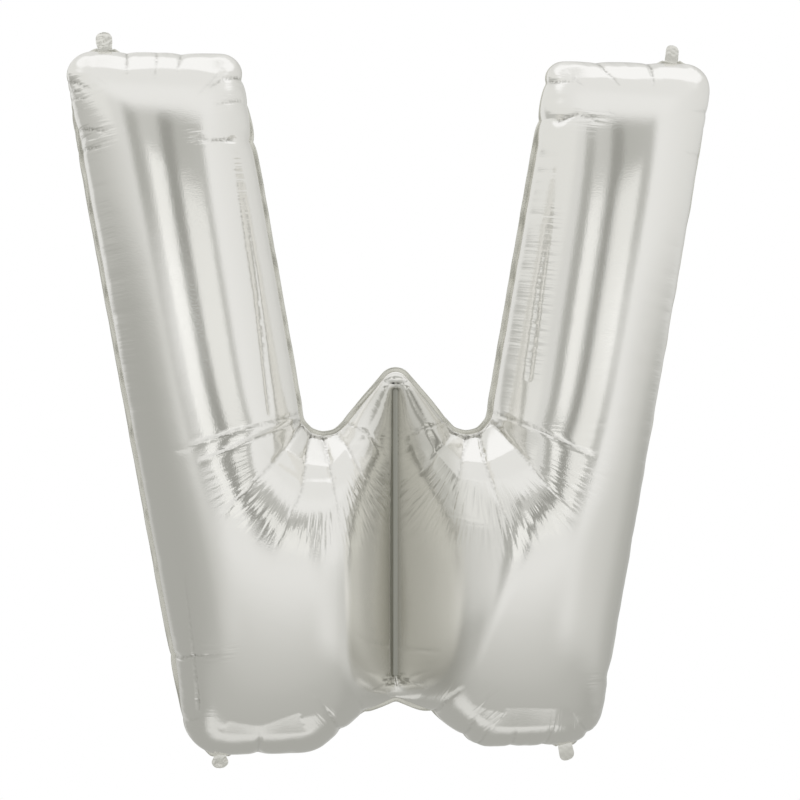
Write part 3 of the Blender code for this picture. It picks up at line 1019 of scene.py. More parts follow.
@dataclass
class FoilFilm:
    """One metallised film, blown out over the plan, creased and gathered along its seam.

    Painted shade darkens the film's colour in the valley beside the weld, fading out between two
    distances to the right, to the left, above and below, and a soft line of painted shade runs
    along the weld. The seam's gathers are at their strongest past two heights at the arms' ends
    and the lobes' bottoms, and fade round the crotches. The finest ones come in patches, between
    two distances from the seam, round each pinch, and in a ring below each crotch.
    """

    side: Side
    plan: FilmPlan
    seam: SeamLine
    seam_half: float = 0.2 * MM
    flat_by_weld: float = 5 * MM
    shade: float = 0.5
    shade_reach: float = 3 * MM
    valley_shade_right: Span = (55 * MM, 85 * MM)
    valley_shade_left: Span = (6 * MM, 60 * MM)
    valley_shade_above: Span = (60 * MM, 80 * MM)
    valley_shade_below: Span = (290 * MM, 335 * MM)
    along_arms: float = 0.35
    arm_ends: Span = (320 * MM, 400 * MM)
    lobe_ends: Span = (200 * MM, 280 * MM)
    crotch_calm: Span = (50 * MM, 110 * MM)
    patch_length: float = 35 * MM
    patch_strength: Span = (0.12, 0.62)
    patch_rise: Span = (1 * MM, 5 * MM)
    patch_fall: Span = (14 * MM, 32 * MM)
    pinch_reach: float = 12 * MM
    ring_rise: Span = (35 * MM, 95 * MM)
    ring_fall: Span = (125 * MM, 175 * MM)

    def shape(self) -> tuple[np.ndarray, np.ndarray, dict[str, np.ndarray]]:
        """Work out the film's surface.

        Returns:
            Its points, its triangles, and the measures of each point that its finish reads.
        """
        facing = float(self.side.value)
        flat = self.plan.points
        own = flat * (-facing, 1.0)
        run, gap = nearest_on_loop(flat, self.seam.base)
        slot_gap = nearest_on_loop(flat, WELD_OUTLINE.loop(0.0, 4 * MM))[1]
        height = self.blown(own, gap, slot_gap)
        points = np.column_stack((flat[:, 0], facing * (height + self.seam_half), flat[:, 1]))
        triangles, normals = self.turned_out(points)
        depth, dark = np.zeros(len(points)), np.zeros(len(points))
        # Each crease presses the film in, and paints shade along its line
        for fold in FOLDS:
            pressed, line = fold.press(own)
            depth += pressed
            dark = np.maximum(dark, line)
        depth *= ease(gap, 0.0, 4 * MM) * ease(slot_gap, 0.0, 5 * MM)
        broad = Puckers(self.seam.length, spacing=30 * MM, height=1.3 * MM, reach=14 * MM,
                        seed=5 + self.side.value)
        fine = Puckers(self.seam.length, spacing=11 * MM, height=0.45 * MM, reach=6 * MM,
                       seed=9 + self.side.value)
        depth += (broad.depth(run, gap) + fine.depth(run, gap)) * self.gathering()
        points = points - normals * depth[:, None]
        # These measures paint shade into the colour: beside the weld, along the creases and along
        # the weld
        measures = {"seam_run": run, "seam_gap": gap, "weld_haze": self.haze(own), "crease": dark,
                    "weld_shade": self.shade * np.exp(-slot_gap / self.shade_reach),
                    "gather": self.gathers(own, run, gap), "fan_gather": self.fan_gathers(own)}
        return self.seam.move(points, run, gap), triangles, measures

    def blown(self, own: np.ndarray, gap: np.ndarray, slot_gap: np.ndarray) -> np.ndarray:
        """The film's height over the plan, with its facets, its valley and its flat panels.

        Args:
            own: the points as seen from the film's own side.
            gap: each point's distance from the seam.
            slot_gap: its distance from the weld.

        Returns:
            Each point's height.
        """
        plan = self.plan
        height = plan.height.copy()
        for fan in ((LEFT_FAN_FOLDS, LEFT_FAN_HOLD, LEFT_FAN_REACH),
                    (RIGHT_FAN_FOLDS, RIGHT_FAN_HOLD, RIGHT_FAN_REACH)):
            sunk = FacetFan(*fan, plan).depth(own, plan.height)
            height -= np.minimum(sunk, plan.height) * ease(gap, 0.0, 2 * MM)
        height *= Valley().share(own) * slot_gap / (slot_gap + self.flat_by_weld)
        base = self.seam.base * (-self.side.value, 1.0)
        if self.side is Side.BACK:
            base = base[::-1]
        own_run, _ = nearest_on_loop(own, base)
        for panels in (END_PANELS, BOTTOM_PANELS):
            height *= panels.share(base, own_run, gap)
        return height

    def turned_out(self, points: np.ndarray) -> tuple[np.ndarray, np.ndarray]:
        """Turn the plan's triangles to face out of the balloon.

        Args:
            points: x, y and z of the film's points.

        Returns:
            The triangles, and the outward normal at each point.
        """
        triangles = self.plan.triangles
        corner = points[triangles]
        across = np.cross(corner[:, 1] - corner[:, 0], corner[:, 2] - corner[:, 0])
        wrong = across[:, 1] * self.side.value < 0
        triangles = np.where(wrong[:, None], triangles[:, ::-1], triangles)
        across[wrong] *= -1
        normals = np.zeros_like(points)
        for index in range(3):
            np.add.at(normals, triangles[:, index], across)
        return triangles, normals / np.linalg.norm(normals, axis=1)[:, None]

    def gathering(self) -> np.ndarray:
        """How strongly the seam is gathered: less along the arms and round the crotches.

        Returns:
            The strength at each of the plan's points, from 0 to 1.
        """
        x, z = self.plan.points.T
        ends = ease(z, *self.arm_ends) + ease(-z, *self.lobe_ends)
        from_crotch = np.hypot(np.abs(x) - CROTCH[0], z - CROTCH[1])
        strength = self.along_arms + (1 - self.along_arms) * ends
        return strength * ease(from_crotch, *self.crotch_calm)

    def haze(self, own: np.ndarray) -> np.ndarray:
        """How much painted shade darkens the film in the valley beside the weld, further on one
        side.

        Args:
            own: the points as seen from the film's own side.

        Returns:
            The strength at each, from 0 to 1.
        """
        x, z = own.T
        right = 1 - ease(x, *self.valley_shade_right)
        left = 1 - ease(-x, *self.valley_shade_left)
        along = (1 - ease(z, *self.valley_shade_above)) * (1 - ease(-z, *self.valley_shade_below))
        return np.where(x > 0, right, left) * along

    def gathers(self, own: np.ndarray, run: np.ndarray, gap: np.ndarray) -> np.ndarray:
        """How strong the fine gathers are at each point: in patches, and round the pinches.

        Args:
            own: the points as seen from the film's own side.
            run: the length along the seam to the place nearest to each point.
            gap: each point's distance from the seam.

        Returns:
            The strength, from 0 to 1.
        """
        chance = np.random.default_rng(21 + self.side.value)
        count = int(self.seam.length / self.patch_length)
        patches = chance.uniform(0.0, 1.0, count) ** 2
        marks = np.arange(count) * self.seam.length / count
        patch = np.interp(run, marks, patches, period=self.seam.length)
        least, most = self.patch_strength
        strength = (least + (most - least) * patch) * ease(gap, *self.patch_rise)
        strength *= 1 - ease(gap, *self.patch_fall)
        for fold in PINCH_FOLDS:
            away = nearest_on_path(own, fold.route())[1]
            strength = np.maximum(strength, np.exp(-(away / self.pinch_reach) ** 2))
        return np.clip(strength, 0.0, 1.0)

    def fan_gathers(self, own: np.ndarray) -> np.ndarray:
        """How strong the gathers that spread from the crotches are: most in a ring below them.

        Args:
            own: the points as seen from the film's own side.

        Returns:
            The strength at each, from 0 to 1.
        """
        x, z = own.T
        radius = np.hypot(np.abs(x) - FAN_CENTRE[0], z - FAN_CENTRE[1])
        ring = ease(radius, *self.ring_rise) * (1 - ease(radius, *self.ring_fall))
        below = ease(45 * MM - z, 0.0, 30 * MM) * (0.35 + 0.65 * ease(-z, 10 * MM, 60 * MM))
        return ring * below

    def build(self) -> bpy.types.Object:
        """Make the film's object.

        Returns:
            The film, riding on the envelope in place of its model's node.
        """
        points, triangles, measures = self.shape()
        word = self.side.name.lower()
        film = make_object(f"{word}_foil", points, triangles)
        for name, values in measures.items():
            measure = film.data.attributes.new(name, "FLOAT", "POINT")
            measure.data.foreach_set("value", values.astype(np.float32))
        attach(film, "envelope")
        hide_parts(f"{word}_film")
        return film


@dataclass(frozen=True)
class FoilTab:
    """A tab of doubled film that stands out of the seam, creased and bent back a little.

    Side is 1 at the top and -1 at the bottom, and lean is the tip's turn towards +X in degrees.
    Crumples are ridges in several directions, each of a random width between two lengths.
    """

    node: str
    root_x: float
    side: float
    lean: float
    root_width: float
    width: float
    length: float
    crumple: float
    seed: int
    bend: float = 5 * MM
    start: float = -1.5 * MM
    thickness: float = 0.5 * MM
    ridges: int = 7
    ridge_width: Span = (5.0, 11.0)
    roundness: float = 2.3

    @property
    def hinge(self) -> float:
        """The height of the line that the tab folds about."""
        return TOP_HINGE if self.side > 0 else BOTTOM_HINGE

    def build(self) -> bpy.types.Object:
        """Make the tab's object.

        Returns:
            The tab, riding on its own body in place of its model's node.
        """
        bpy.ops.object.select_all(action="DESELECT")
        bpy.ops.mesh.primitive_grid_add(x_subdivisions=22, y_subdivisions=28, size=1.0)
        tab = bpy.context.object
        tab.name = f"foil_{self.node}"
        count = len(tab.data.vertices)
        places = np.empty(3 * count)
        tab.data.vertices.foreach_get("co", places)
        places = places.reshape(-1, 3)
        tab.data.vertices.foreach_set("co", self.shaped(places[:, 0], places[:, 1]).ravel())
        wall = tab.modifiers.new("wall", "SOLIDIFY")
        wall.thickness, wall.offset = self.thickness, 0.0
        bpy.ops.object.modifier_apply(modifier="wall")
        bm = bmesh.new()
        bm.from_mesh(tab.data)
        bmesh.ops.remove_doubles(bm, verts=bm.verts, dist=0.02 * MM)
        bm.to_mesh(tab.data)
        bm.free()
        turn_outwards(tab)
        bpy.ops.object.shade_smooth_by_angle(angle=math.radians(30))
        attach(tab, self.node)
        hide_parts(self.node)
        return tab

    def shaped(self, across: np.ndarray, along: np.ndarray) -> np.ndarray:
        """Turn a flat unit square into the tab.

        Args:
            across: each point's place from side to side, from -0.5 to 0.5.
            along: its place from root to tip, from -0.5 to 0.5.

        Returns:
            The points in the balloon's frame.
        """
        out = self.start + (self.length - self.start) * (along + 0.5)
        spread = (self.width - self.root_width) * ease(out, 0.0, 0.5 * self.length)
        round_end = np.clip((out - self.length) / (0.5 * self.width) + 1, 0.0, 1.0)
        narrowed = (1 - round_end ** self.roundness) ** (1 / self.roundness)
        side = across * (self.root_width + spread) * narrowed
        chance = np.random.default_rng(self.seed)
        back = self.bend * np.clip(out / self.length, 0.0, 1.0) ** 1.5
        for _ in range(self.ridges):
            turn, period = chance.uniform(0, math.pi), chance.uniform(*self.ridge_width) * MM
            wave = (side * math.cos(turn) + out * math.sin(turn)) / period + chance.uniform()
            ridge = np.abs(wave % 1.0 - 0.5) - 0.25
            back = back + self.crumple * ridge * ease(out, 0.0, 3 * MM)
        lean = math.radians(self.lean)
        return np.column_stack((
            self.root_x + side * math.cos(lean) + out * math.sin(lean), back,
            self.hinge + self.side * (out * math.cos(lean) - side * math.sin(lean))))


# Each tab's root x, side and lean, its width at the root and beyond, its length and its crumple
TABS = (
    FoilTab("tab_top_left", -0.360, 1.0, -6.0, 17.5 * MM, 20.0 * MM, 22.0 * MM, 0.9 * MM, 3),
    FoilTab("tab_top_right", 0.357, 1.0, 9.0, 17.5 * MM, 17.0 * MM, 22.0 * MM, 0.2 * MM, 5),
    FoilTab("tail_bottom_left", -0.223, -1.0, 0.0, 15.5 * MM, 21.0 * MM, 16.5 * MM, 2.0 * MM, 8),
    FoilTab("tab_bottom_right", 0.221, -1.0, 14.0, 18.5 * MM, 19.5 * MM, 21.5 * MM, 0.25 * MM, 4),
)


@dataclass
class SeamBand:
    """The sealed band outside the films, two plies pressed flat and wavy at their edge.

    Lean is how far its edge bends back and in at the arms' ends and the lobes' bottoms, and
    flare how much more its edge sways than the seam. Near a tab it is drawn out to the hinge.
    """

    seam: SeamLine
    half: float = 0.35 * MM
    lap_half: float = 0.1 * MM
    round_over: float = 0.3 * MM
    lean: float = 4.0 * MM
    flare: float = 1.4
    lug_spread: float = 3 * MM
    lug_reach: float = 15 * MM
    lug_overlap: float = 0.2 * MM

    def build(self) -> bpy.types.Object:
        """Make the band's object.

        Returns:
            The band, in place of the model's edge seam.
        """
        rows = ((SEAM_WIDTH + SEAM_LAP, self.lap_half), (SEAM_WIDTH, self.half),
                (SEAM_WIDTH / 2, self.half), (self.round_over, self.half), (0.0, 0.0))
        rings = [self.ring(inset, -half) for inset, half in rows]
        rings += [self.ring(inset, half) for inset, half in reversed(rows[:-1])]
        count = len(rings)
        faces = [face for number in range(count)
                 for face in between_rings(len(rings[0]), number, (number + 1) % count)]
        band = make_object("seam_band", np.vstack(rings), faces)
        turn_outwards(band)
        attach(band, "envelope")
        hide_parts("edge_seam")
        return band

    def ring(self, inset: float, y: float) -> np.ndarray:
        """One ring of the band's points, moved with the seam.

        Args:
            inset: how far it lies inside the band's outer edge.
            y: its height off the seam's plane.

        Returns:
            x, y and z of its points.
        """
        out_share = max(0.0, 1 - inset / SEAM_WIDTH)
        bent = self.lean * out_share * self.seam.ends
        sway = self.seam.sway * (1 + self.flare * out_share) + bent
        out = self.seam.out * (self.seam.shift - bent)[:, None]
        loop = np.insert(SEAM_OUTLINE.loop(inset, self.seam.step), 1, y, axis=1)
        points = loop + np.column_stack((out[:, 0], sway, out[:, 1]))
        return self.with_lugs(points) if inset < SEAM_WIDTH / 3 else points

    def with_lugs(self, points: np.ndarray) -> np.ndarray:
        """Draw the band's edge out to each tab's hinge line.

        Args:
            points: x, y and z of the edge's points.

        Returns:
            The points, moved where a tab is.
        """
        y, z = points[:, 1].copy(), points[:, 2].copy()
        for tab in TABS:
            half = 0.5 * tab.root_width
            share = 1 - ease(np.abs(points[:, 0] - tab.root_x), half, half + self.lug_spread)
            share = np.where(np.abs(z - tab.hinge) < self.lug_reach, share, 0.0)
            z += share * (tab.hinge + tab.side * self.lug_overlap - z)
            y -= share * y
        return np.column_stack((points[:, 0], y, z))


@dataclass
class WeldStrip:
    """The straight weld down the middle, where the two films are pressed together.

    It laps a little way under the films and rises to a crown between its rounded edges.
    """

    half: float = 0.35 * MM
    crown: float = 0.25 * MM
    edge: float = 0.7 * MM
    step: float = 3 * MM

    def build(self) -> bpy.types.Object:
        """Make the strip's object.

        Returns:
            The strip, in place of the model's centre weld.
        """
        rows = ((2 * self.edge, self.half + self.crown), (self.edge, self.half + 0.5 * self.crown),
                (0.0, self.half), (-SEAM_LAP, self.half))
        rings = [np.insert(WELD_OUTLINE.loop(inset, self.step), 1, facing * half, axis=1)
                 for facing, order in ((-1, 1), (1, -1)) for inset, half in rows[::order]]
        count = len(rings[0])
        faces = [face for number in range(len(rings) - 1)
                 for face in between_rings(count, number, number + 1)]
        last = (len(rings) - 1) * count
        faces += [tuple(range(count)), tuple(last + index for index in reversed(range(count)))]
        strip = make_object("weld_strip", np.vstack(rings), faces)
        turn_outwards(strip)
        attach(strip, "envelope")
        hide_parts("centre_weld")
        return strip


@dataclass(frozen=True)
class FoilFinish:
    """Aluminium-coated polyester film: a soft mirror with a fine grain and faint crinkles.

    The film's own grain is finer than a tenth of a millimetre, too fine to show, so it is drawn
    as coarse as it needs to show. Crinkles are as wide as the real film's slack between creases.
    """

    name: str
    colour: str
    roughness: float
    roughness_spread: float = 0.03
    grain_mm: float = 1.8
    grain_height_mm: float = 0.09
    crinkle_mm: float = 28.0
    crinkle_height_mm: float = 0.12

    def build(self) -> bpy.types.Material:
        """Make the material.

        Returns:
            The finished material.
        """
        finish = bpy.data.materials.new(self.name)
        finish.use_nodes = True
        tree = finish.node_tree
        shader = tree.nodes["Principled BSDF"]
        shader.inputs["Metallic"].default_value = 1.0
        self.tint(tree, shader)
        place = add_node(tree, "ShaderNodeTexCoord").outputs["Object"]
        grain = add_node(tree, "ShaderNodeTexNoise", inputs={
            "Vector": place, "Scale": 1 / (self.grain_mm * MM), "Detail": 2.0})
        rough = add_node(tree, "ShaderNodeMapRange", inputs={
            "Value": grain.outputs["Fac"], "From Min": 0.3, "From Max": 0.7,
            "To Min": self.roughness - self.roughness_spread,
            "To Max": self.roughness + self.roughness_spread})
        tree.links.new(rough.outputs["Result"], shader.inputs["Roughness"])
        crinkle = add_node(tree, "ShaderNodeTexNoise", inputs={
            "Vector": place, "Scale": 1 / (self.crinkle_mm * MM), "Detail": 1.0})
        normal = add_node(tree, "ShaderNodeBump", inputs={
            "Height": crinkle.outputs["Fac"], "Strength": 1.0,
            "Distance": self.crinkle_height_mm * MM}).outputs["Normal"]
        normal = add_node(tree, "ShaderNodeBump", inputs={
            "Height": grain.outputs["Fac"], "Strength": 1.0,
            "Distance": self.grain_height_mm * MM,
            "Normal": self.ripple(tree, place, normal)}).outputs["Normal"]
        tree.links.new(normal, shader.inputs["Normal"])
        return finish

    def tint(self, tree: bpy.types.NodeTree, shader: bpy.types.Node) -> None:
        """Give the shader its one colour."""
        shader.inputs["Base Color"].default_value = linear_colour(self.colour)

    def ripple(self, tree: bpy.types.NodeTree, place: bpy.types.NodeSocket,
               normal: bpy.types.NodeSocket) -> bpy.types.NodeSocket:
        """Leave the film's normal as it is, with no ripples of its own."""
        return normal


@dataclass(frozen=True)
class BlownFilmFinish(FoilFinish):
    """The same film blown up: with painted shade in its colour beside the weld and along its
    creases and weld, and finely gathered where it is drawn in.

    The gathers lie across the seam at a spacing along it, and spread from a centre below each
    crotch, with so many waves to a full turn, and a streak of light that crosses them gets a
    feathered edge.
    """

    # The grey of the painted shade beside the weld, then the darker grey of the painted shade in
    # the crease and weld lines
    painted_valley_grey: str = "D9D8D2"
    creased: str = "8A8981"
    break_mm: float = 4.0
    gather_mm: float = 4.5
    gather_length_mm: float = 45.0
    gather_height_mm: float = 0.80
    fan_waves: float = 140.0
    fan_height_mm: float = 0.95

    def tint(self, tree: bpy.types.NodeTree, shader: bpy.types.Node) -> None:
        """Paint shade into the film's colour: over the valley beside the weld, and in broken
        crease
            lines and a soft line along the weld.

        Args:
            tree: the material's node tree.
            shader: its shader.
        """
        haze, line, shade = (
            add_node(tree, "ShaderNodeAttribute", {"attribute_name": name}).outputs["Fac"]
            for name in ("weld_haze", "crease", "weld_shade"))
        place = add_node(tree, "ShaderNodeTexCoord").outputs["Object"]
        breaks = add_node(tree, "ShaderNodeTexNoise", inputs={
            "Vector": place, "Scale": 1 / (self.break_mm * MM), "Detail": 1.0})
        share = add_node(tree, "ShaderNodeMapRange", inputs={
            "Value": breaks.outputs["Fac"], "From Min": 0.35, "From Max": 0.6, "To Min": 0.15})
        dark = add_node(tree, "ShaderNodeMath", {"operation": "MULTIPLY"},
                        {0: line, 1: share.outputs["Result"]})
        dark = add_node(tree, "ShaderNodeMath", {"operation": "MAXIMUM"},
                        {0: dark.outputs[0], 1: shade})
        colour = linear_colour(self.colour)
        # Mix in the painted shade: the valley's grey, then the darker grey of the crease and weld
        # lines
        for amount, hex_code in ((haze, self.painted_valley_grey), (dark.outputs[0], self.creased)):
            colour = add_node(tree, "ShaderNodeMix", {"data_type": "RGBA"}, {
                "Factor": amount, "A": colour, "B": linear_colour(hex_code)}).outputs["Result"]
        tree.links.new(colour, shader.inputs["Base Color"])

    def ripple(self, tree: bpy.types.NodeTree, place: bpy.types.NodeSocket,
               normal: bpy.types.NodeSocket) -> bpy.types.NodeSocket:
        """Add the fine gathers to the film's normal.

        Args:
            tree: the material's node tree.
            place: the point in the piece's own space.
            normal: the normal so far.

        Returns:
            The rippled normal.
        """
        part = add_node(tree, "ShaderNodeSeparateXYZ", inputs={0: place})
        found = {name: part.outputs[name] for name in ("X", "Z")}
        for name in ("seam_run", "seam_gap", "gather", "fan_gather"):
            measure = add_node(tree, "ShaderNodeAttribute", {"attribute_name": name})
            found[name] = measure.outputs["Fac"]
        # Each step's name, what it does, and the numbers or earlier steps that it does it with
        steps = (
            ("along", "DIVIDE", "seam_run", self.gather_mm * MM),
            ("inward", "DIVIDE", "seam_gap", self.gather_length_mm * MM),
            ("side", "ABSOLUTE", "X"),
            ("out", "SUBTRACT", "side", FAN_CENTRE[0]),
            ("down", "SUBTRACT", FAN_CENTRE[1], "Z"),
            ("turn", "ARCTAN2", "out", "down"),
            ("around", "MULTIPLY", "turn", self.fan_waves / (2 * math.pi)),
            ("out_squared", "MULTIPLY", "out", "out"),
            ("down_squared", "MULTIPLY", "down", "down"),
            ("squares", "ADD", "out_squared", "down_squared"),
            ("radius", "SQRT", "squares"),
            ("outward", "DIVIDE", "radius", self.gather_length_mm * MM),
        )
        for name, operation, *terms in steps:
            found[name] = add_node(tree, "ShaderNodeMath", {"operation": operation}, {
                number: found.get(term, term) for number, term in enumerate(terms)}).outputs[0]
        # Ripples that are narrow along the first measure and long along the second
        for first, second, strength, height_mm in (
                ("along", "inward", "gather", self.gather_height_mm),
                ("around", "outward", "fan_gather", self.fan_height_mm)):
            spread = add_node(tree, "ShaderNodeCombineXYZ", inputs={
                0: found[first], 1: found[second]})
            waves = add_node(tree, "ShaderNodeTexNoise", inputs={
                "Vector": spread.outputs[0], "Scale": 1.0, "Detail": 1.0})
            height = add_node(tree, "ShaderNodeMath", {"operation": "SUBTRACT"},
                              {0: waves.outputs["Fac"], 1: 0.5})
            height = add_node(tree, "ShaderNodeMath", {"operation": "MULTIPLY"},
                              {0: height.outputs[0], 1: found[strength]})
            normal = add_node(tree, "ShaderNodeBump", inputs={
                "Height": height.outputs[0], "Strength": 1.0, "Distance": height_mm * MM,
                "Normal": normal}).outputs["Normal"]
        return normal


@dataclass(frozen=True)
class Softbox:
    """A soft rectangular light with its centre, size and brightness."""

    name: str
    place: tuple[float, float, float]
    width: float
    height: float
    brightness: float

    def build(self) -> bpy.types.Object:
        """Make the light, facing the balloon's middle line.

        Returns:
            The light's object.
        """
        data = bpy.data.lights.new(self.name, "AREA")
        data.shape = "RECTANGLE"
        data.size, data.size_y = self.width, self.height
        data.energy = self.brightness * self.width * self.height * math.pi
        light = bpy.data.objects.new(self.name, data)
        light.location = self.place
        away = Vector((self.place[0], self.place[1], 0.0))
        light.rotation_euler = away.to_track_quat("Z", "Y").to_euler()
        light.visible_camera = False
        bpy.context.scene.collection.objects.link(light)
        return light


@dataclass(frozen=True)
class Studio:
    """A white studio: soft lights before the balloon, grey and white paper round it.

    Angles are in degrees, and each stop is an angle with a grey. Tilt is the turn about the
    balloon's left-to-right line, turn the one about its upright line, and across the same
    without its sign. Height and side are how far a direction points up and to the right.
    """

    softboxes: tuple[Softbox, ...] = (
        Softbox("left_softbox", (-1.71, -4.5, 0.85), 1.56, 1.90, 0.32),
        Softbox("right_softbox", (1.45, -4.5, 0.725), 2.40, 1.75, 0.34),
    )
    # The tilt from below behind, under, in front and over to down behind
    rise: Stops = (
        (-180, 0.46), (-140, 0.42), (-125, 0.42), (-100, 0.42), (-75, 0.47), (-66, 0.485),
        (-56, 0.50), (-45, 0.55), (-38, 0.58), (-30, 0.63), (-25, 0.67), (-18, 0.75),
        (-11, 0.82), (2, 0.83), (9, 0.53), (33, 0.53), (43, 0.82), (47, 0.86), (62, 0.86),
        (68, 0.82), (95, 0.82), (99, 1.0), (120, 1.0), (125, 0.80), (150, 0.72), (180, 0.66))
    # The dim paper before the balloon, from its left to its right
    dim: Stops = (
        (-50, 0.59), (-45, 0.42), (-35, 0.42), (-30, 0.59), (-12, 0.57), (-8, 0.34), (3, 0.34),
        (8, 0.48), (30, 0.50), (34, 0.46), (41, 0.46), (45, 0.60), (58, 0.76))
    # The walls, from behind past the left side, the front and the right side, low and high
    around: Stops = (
        (-180, 0.60), (-152, 0.55), (-144, 0.42), (-95, 0.42), (-80, 0.43), (-62, 0.48),
        (-52, 0.60), (-28, 0.78), (0, 0.81), (26, 0.83), (45, 0.78), (60, 0.68), (90, 0.60),
        (113, 0.48), (135, 0.43), (150, 0.47), (180, 0.58))
    above: Stops = (
        (-180, 0.80), (-142, 0.78), (-136, 0.50), (-100, 0.55), (-80, 0.61), (-62, 0.68),
        (-49, 0.74), (-44, 0.44), (-36, 0.44), (-31, 0.78), (0, 0.81), (26, 0.85), (32, 0.85),
        (35, 0.60), (40, 0.60), (44, 0.86), (60, 0.83), (90, 0.78), (113, 0.75), (135, 0.70),
        (150, 0.62), (180, 0.70))
    strip_grey: float = 0.72
    card_grey: float = 0.79
    # Where each paper starts to show and where it shows in full, by the angles that bound it
    bounds: tuple[tuple[str, tuple[tuple[str, float, float], ...]], ...] = (
        ("dim", (("tilt", -4, 4), ("tilt", 43, 32))),
        ("walls", (("across", 28, 50), ("height", 40, 26), ("height", -34, -22))),
        ("above", (("height", -9, -1),)),
        ("card", (("height", 8, 15), ("turn", -54, -66))),
        ("strip", (("tilt", -103, -99), ("tilt", -79, -83), ("side", -51, -44),
                   ("side", 29, 21))),
    )
    floor_reach: float = 3.6
    floor_height: float = -1.6
    floor_colour: str = "E6E6E2"
    # The camera's lens and film width in mm, what it aims at, how far off, and its turns
    lens: float = 73.3
    film_width: float = 36.0
    aim: tuple[float, float, float] = (0.0058, 0.0, 0.0535)
    distance: float = 2.066
    yaw: float = -7.14
    pitch: float = -2.17

    def angles(self, tree: bpy.types.NodeTree) -> dict[str, bpy.types.NodeSocket]:
        """Work out the angles of a direction that the papers are laid out by.

        Args:
            tree: the world's node tree.

        Returns:
            Each angle's output by its name.
        """
        way = add_node(tree, "ShaderNodeTexCoord").outputs["Generated"]
        part = add_node(tree, "ShaderNodeSeparateXYZ", inputs={0: way})
        found = {name: part.outputs[name] for name in ("X", "Y", "Z")}
        for name, operation, *terms in (
                ("forward", "MULTIPLY", "Y", -1.0), ("tilt", "ARCTAN2", "Z", "forward"),
                ("turn", "ARCTAN2", "X", "forward"), ("across", "ABSOLUTE", "turn"),
                ("height", "ARCSINE", "Z"), ("side", "ARCSINE", "X")):
            found[name] = add_node(tree, "ShaderNodeMath", {"operation": operation}, {
                number: found.get(term, term) for number, term in enumerate(terms)}).outputs[0]
        return found

    def papers(self, tree: bpy.types.NodeTree,
               angles: dict[str, bpy.types.NodeSocket]) -> dict[str, Any]:
        """Make the greys of the papers, each one shaded along an angle or plain.

        Args:
            tree: the world's node tree.
            angles: the angles of a direction.

        Returns:
            Each paper's colour by its name.
        """
        greys = {name: (grey, grey, 0.97 * grey, 1.0)
                 for name, grey in (("card", self.card_grey), ("strip", self.strip_grey))}
        for name, angle, stops in (("rise", "tilt", self.rise), ("dim", "turn", self.dim),
                                   ("around", "turn", self.around), ("above", "turn", self.above)):
            first, last = stops[0][0], stops[-1][0]
            share = add_node(tree, "ShaderNodeMapRange", inputs={
                "Value": angles[angle], "From Min": math.radians(first),
                "From Max": math.radians(last)})
            ramp = add_node(tree, "ShaderNodeValToRGB", inputs={0: share.outputs["Result"]})
            elements = ramp.color_ramp.elements
            while len(elements) < len(stops):
                elements.new(0.5)
            for element, (place, grey) in zip(elements, stops):
                element.position = (place - first) / (last - first)
                element.color = (grey, grey, grey * (0.90 + 0.10 * grey), 1.0)
            greys[name] = ramp.outputs["Color"]
        return greys

    def shares(self, tree: bpy.types.NodeTree,
               angles: dict[str, bpy.types.NodeSocket]) -> dict[str, bpy.types.NodeSocket]:
        """Work out how much each paper covers of what lies behind it.

        Args:
            tree: the world's node tree.
            angles: the angles of a direction.

        Returns:
            Each paper's share by its name, from 0 to 1.
        """
        covered = {}
        for name, spans in self.bounds:
            for angle, low, high in spans:
                edge = add_node(tree, "ShaderNodeMapRange", {"interpolation_type": "SMOOTHSTEP"}, {
                    "Value": angles[angle], "From Min": math.radians(low),
                    "From Max": math.radians(high)})
                covered[name] = add_node(tree, "ShaderNodeMath", {"operation": "MULTIPLY"}, {
                    0: covered.get(name, 1.0), 1: edge.outputs["Result"]}).outputs[0]
        return covered

    def world(self) -> None:
        """Make the surroundings, plain white where the camera looks past the balloon."""
        world = bpy.data.worlds.new("studio")
        bpy.context.scene.world = world
        world.use_nodes = True
        tree = world.node_tree
        tree.nodes.clear()
        angles = self.angles(tree)
        greys, shares = self.papers(tree, angles), self.shares(tree, angles)
        for result, under, over in (("walls", "around", "above"), ("walls", "walls", "card"),
                                    ("room", "rise", "dim"), ("room", "room", "walls"),
                                    ("room", "room", "strip")):
            greys[result] = add_node(tree, "ShaderNodeMix", {"data_type": "RGBA"}, {
                "Factor": shares[over], "A": greys[under], "B": greys[over]}).outputs["Result"]
        paper = add_node(tree, "ShaderNodeBackground", inputs={"Color": greys["room"]})
        white = add_node(tree, "ShaderNodeBackground", inputs={"Color": (1.0, 1.0, 1.0, 1.0)})
        seen = add_node(tree, "ShaderNodeLightPath").outputs["Is Camera Ray"]
        both = add_node(tree, "ShaderNodeMixShader", inputs={
            0: seen, 1: paper.outputs[0], 2: white.outputs[0]})
        add_node(tree, "ShaderNodeOutputWorld", inputs={"Surface": both.outputs[0]})

    def floor(self) -> None:
        """Make the pale floor, well below the floating balloon."""
        bpy.ops.object.select_all(action="DESELECT")
        bpy.ops.mesh.primitive_circle_add(vertices=96, radius=self.floor_reach, fill_type="NGON",
                                          location=(0.0, 0.0, self.floor_height))
        floor = bpy.context.object
        floor.name = "floor"
        bpy.ops.object.transform_apply(location=True, rotation=True, scale=True)
        # Matt painted board, which takes the light without a reflection of the balloon
        pale = bpy.data.materials.new("matt_painted_board")
        pale.use_nodes = True
        shader = pale.node_tree.nodes["Principled BSDF"]
        shader.inputs["Base Color"].default_value = linear_colour(self.floor_colour)
        shader.inputs["Roughness"].default_value = 0.9
        floor.data.materials.append(pale)
        floor.visible_glossy = False

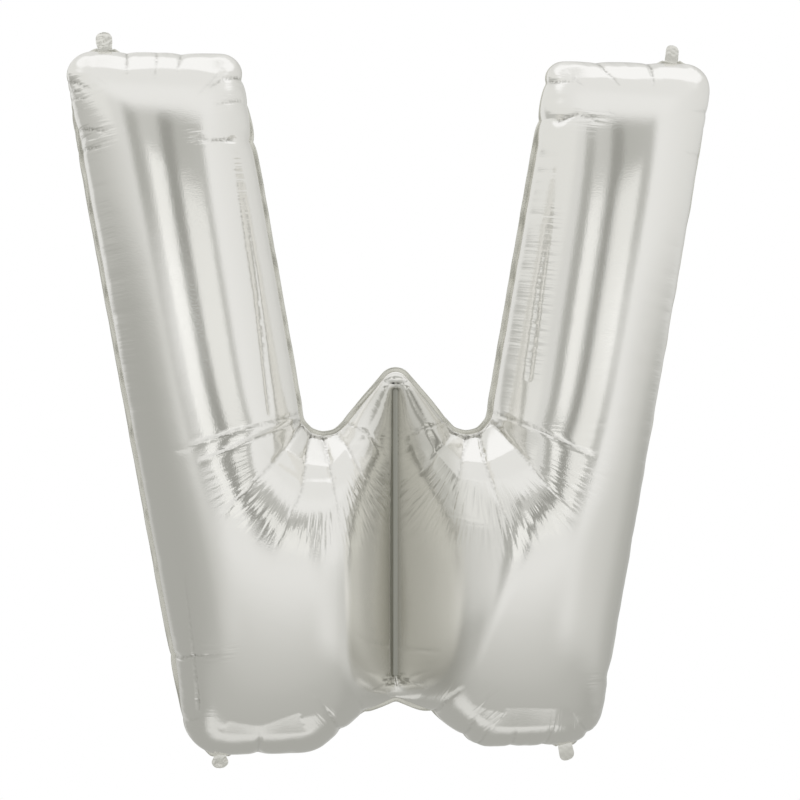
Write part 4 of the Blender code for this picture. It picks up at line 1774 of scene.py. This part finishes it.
    def camera(self) -> None:
        """Make the camera at the photograph's angle, a little above and left of square on."""
        data = bpy.data.cameras.new("camera")
        data.lens, data.sensor_width = self.lens, self.film_width
        camera = bpy.data.objects.new("camera", data)
        yaw, pitch = math.radians(self.yaw), math.radians(self.pitch)
        way = Vector((-math.sin(yaw) * math.cos(pitch), math.cos(yaw) * math.cos(pitch),
                      math.sin(pitch)))
        camera.location = Vector(self.aim) - way * self.distance
        camera.rotation_euler = (math.pi / 2 + pitch, 0.0, yaw)
        bpy.context.scene.collection.objects.link(camera)
        bpy.context.scene.camera = camera

    def build(self) -> None:
        """Make the surroundings, lights, floor and camera."""
        self.world()
        for softbox in self.softboxes:
            softbox.build()
        self.floor()
        self.camera()
        bpy.context.scene.view_settings.view_transform = "Standard"


def main() -> None:
    """Build the balloon's pieces in order, dress them, and set the studio round them."""
    logging.basicConfig(level=logging.INFO, format="%(name)s: %(message)s")
    # Polyester film with a vapour-laid coat of aluminium: nearly a mirror, a little clouded
    # Its colour is darkened by painted shade beside the weld and along its creases and weld
    film_finish = BlownFilmFinish("aluminised_polyester_film", "F6F5F2", 0.13).build()
    # Two films sealed by a hot wheel, which leaves them greyer, with wider highlights
    seam_finish = FoilFinish("heat_sealed_film", "DAD9D1", 0.28).build()
    # Two films pressed harder and hotter, so the weld is a dark satin line
    weld_finish = FoilFinish("pressed_weld", "A3A39B", 0.32).build()
    # Doubled film crumpled by hand: as bright as the balloon, with its highlights scattered
    tab_finish = FoilFinish("creased_double_film", "F2F1EC", 0.34,
                            grain_height_mm=0.04).build()
    seam = SeamLine(2.5 * MM)
    plan = FilmPlan((5.0) * MM)
    LOG.info("plan: %d points, %d triangles, %.0f mm high at most", len(plan.points),
             len(plan.triangles), plan.height.max() / MM)
    pieces = [(FoilFilm(side, plan, seam).build(), film_finish) for side in Side]
    pieces.append((SeamBand(seam).build(), seam_finish))
    pieces.append((WeldStrip().build(), weld_finish))
    pieces += [(tab.build(), tab_finish) for tab in TABS]
    for piece, finish in pieces:
        piece.data.materials.clear()
        piece.data.materials.append(finish)
        LOG.info("%s: %d faces", piece.name, len(piece.data.polygons))
    Studio().build()


if __name__ == "__main__":
    main()
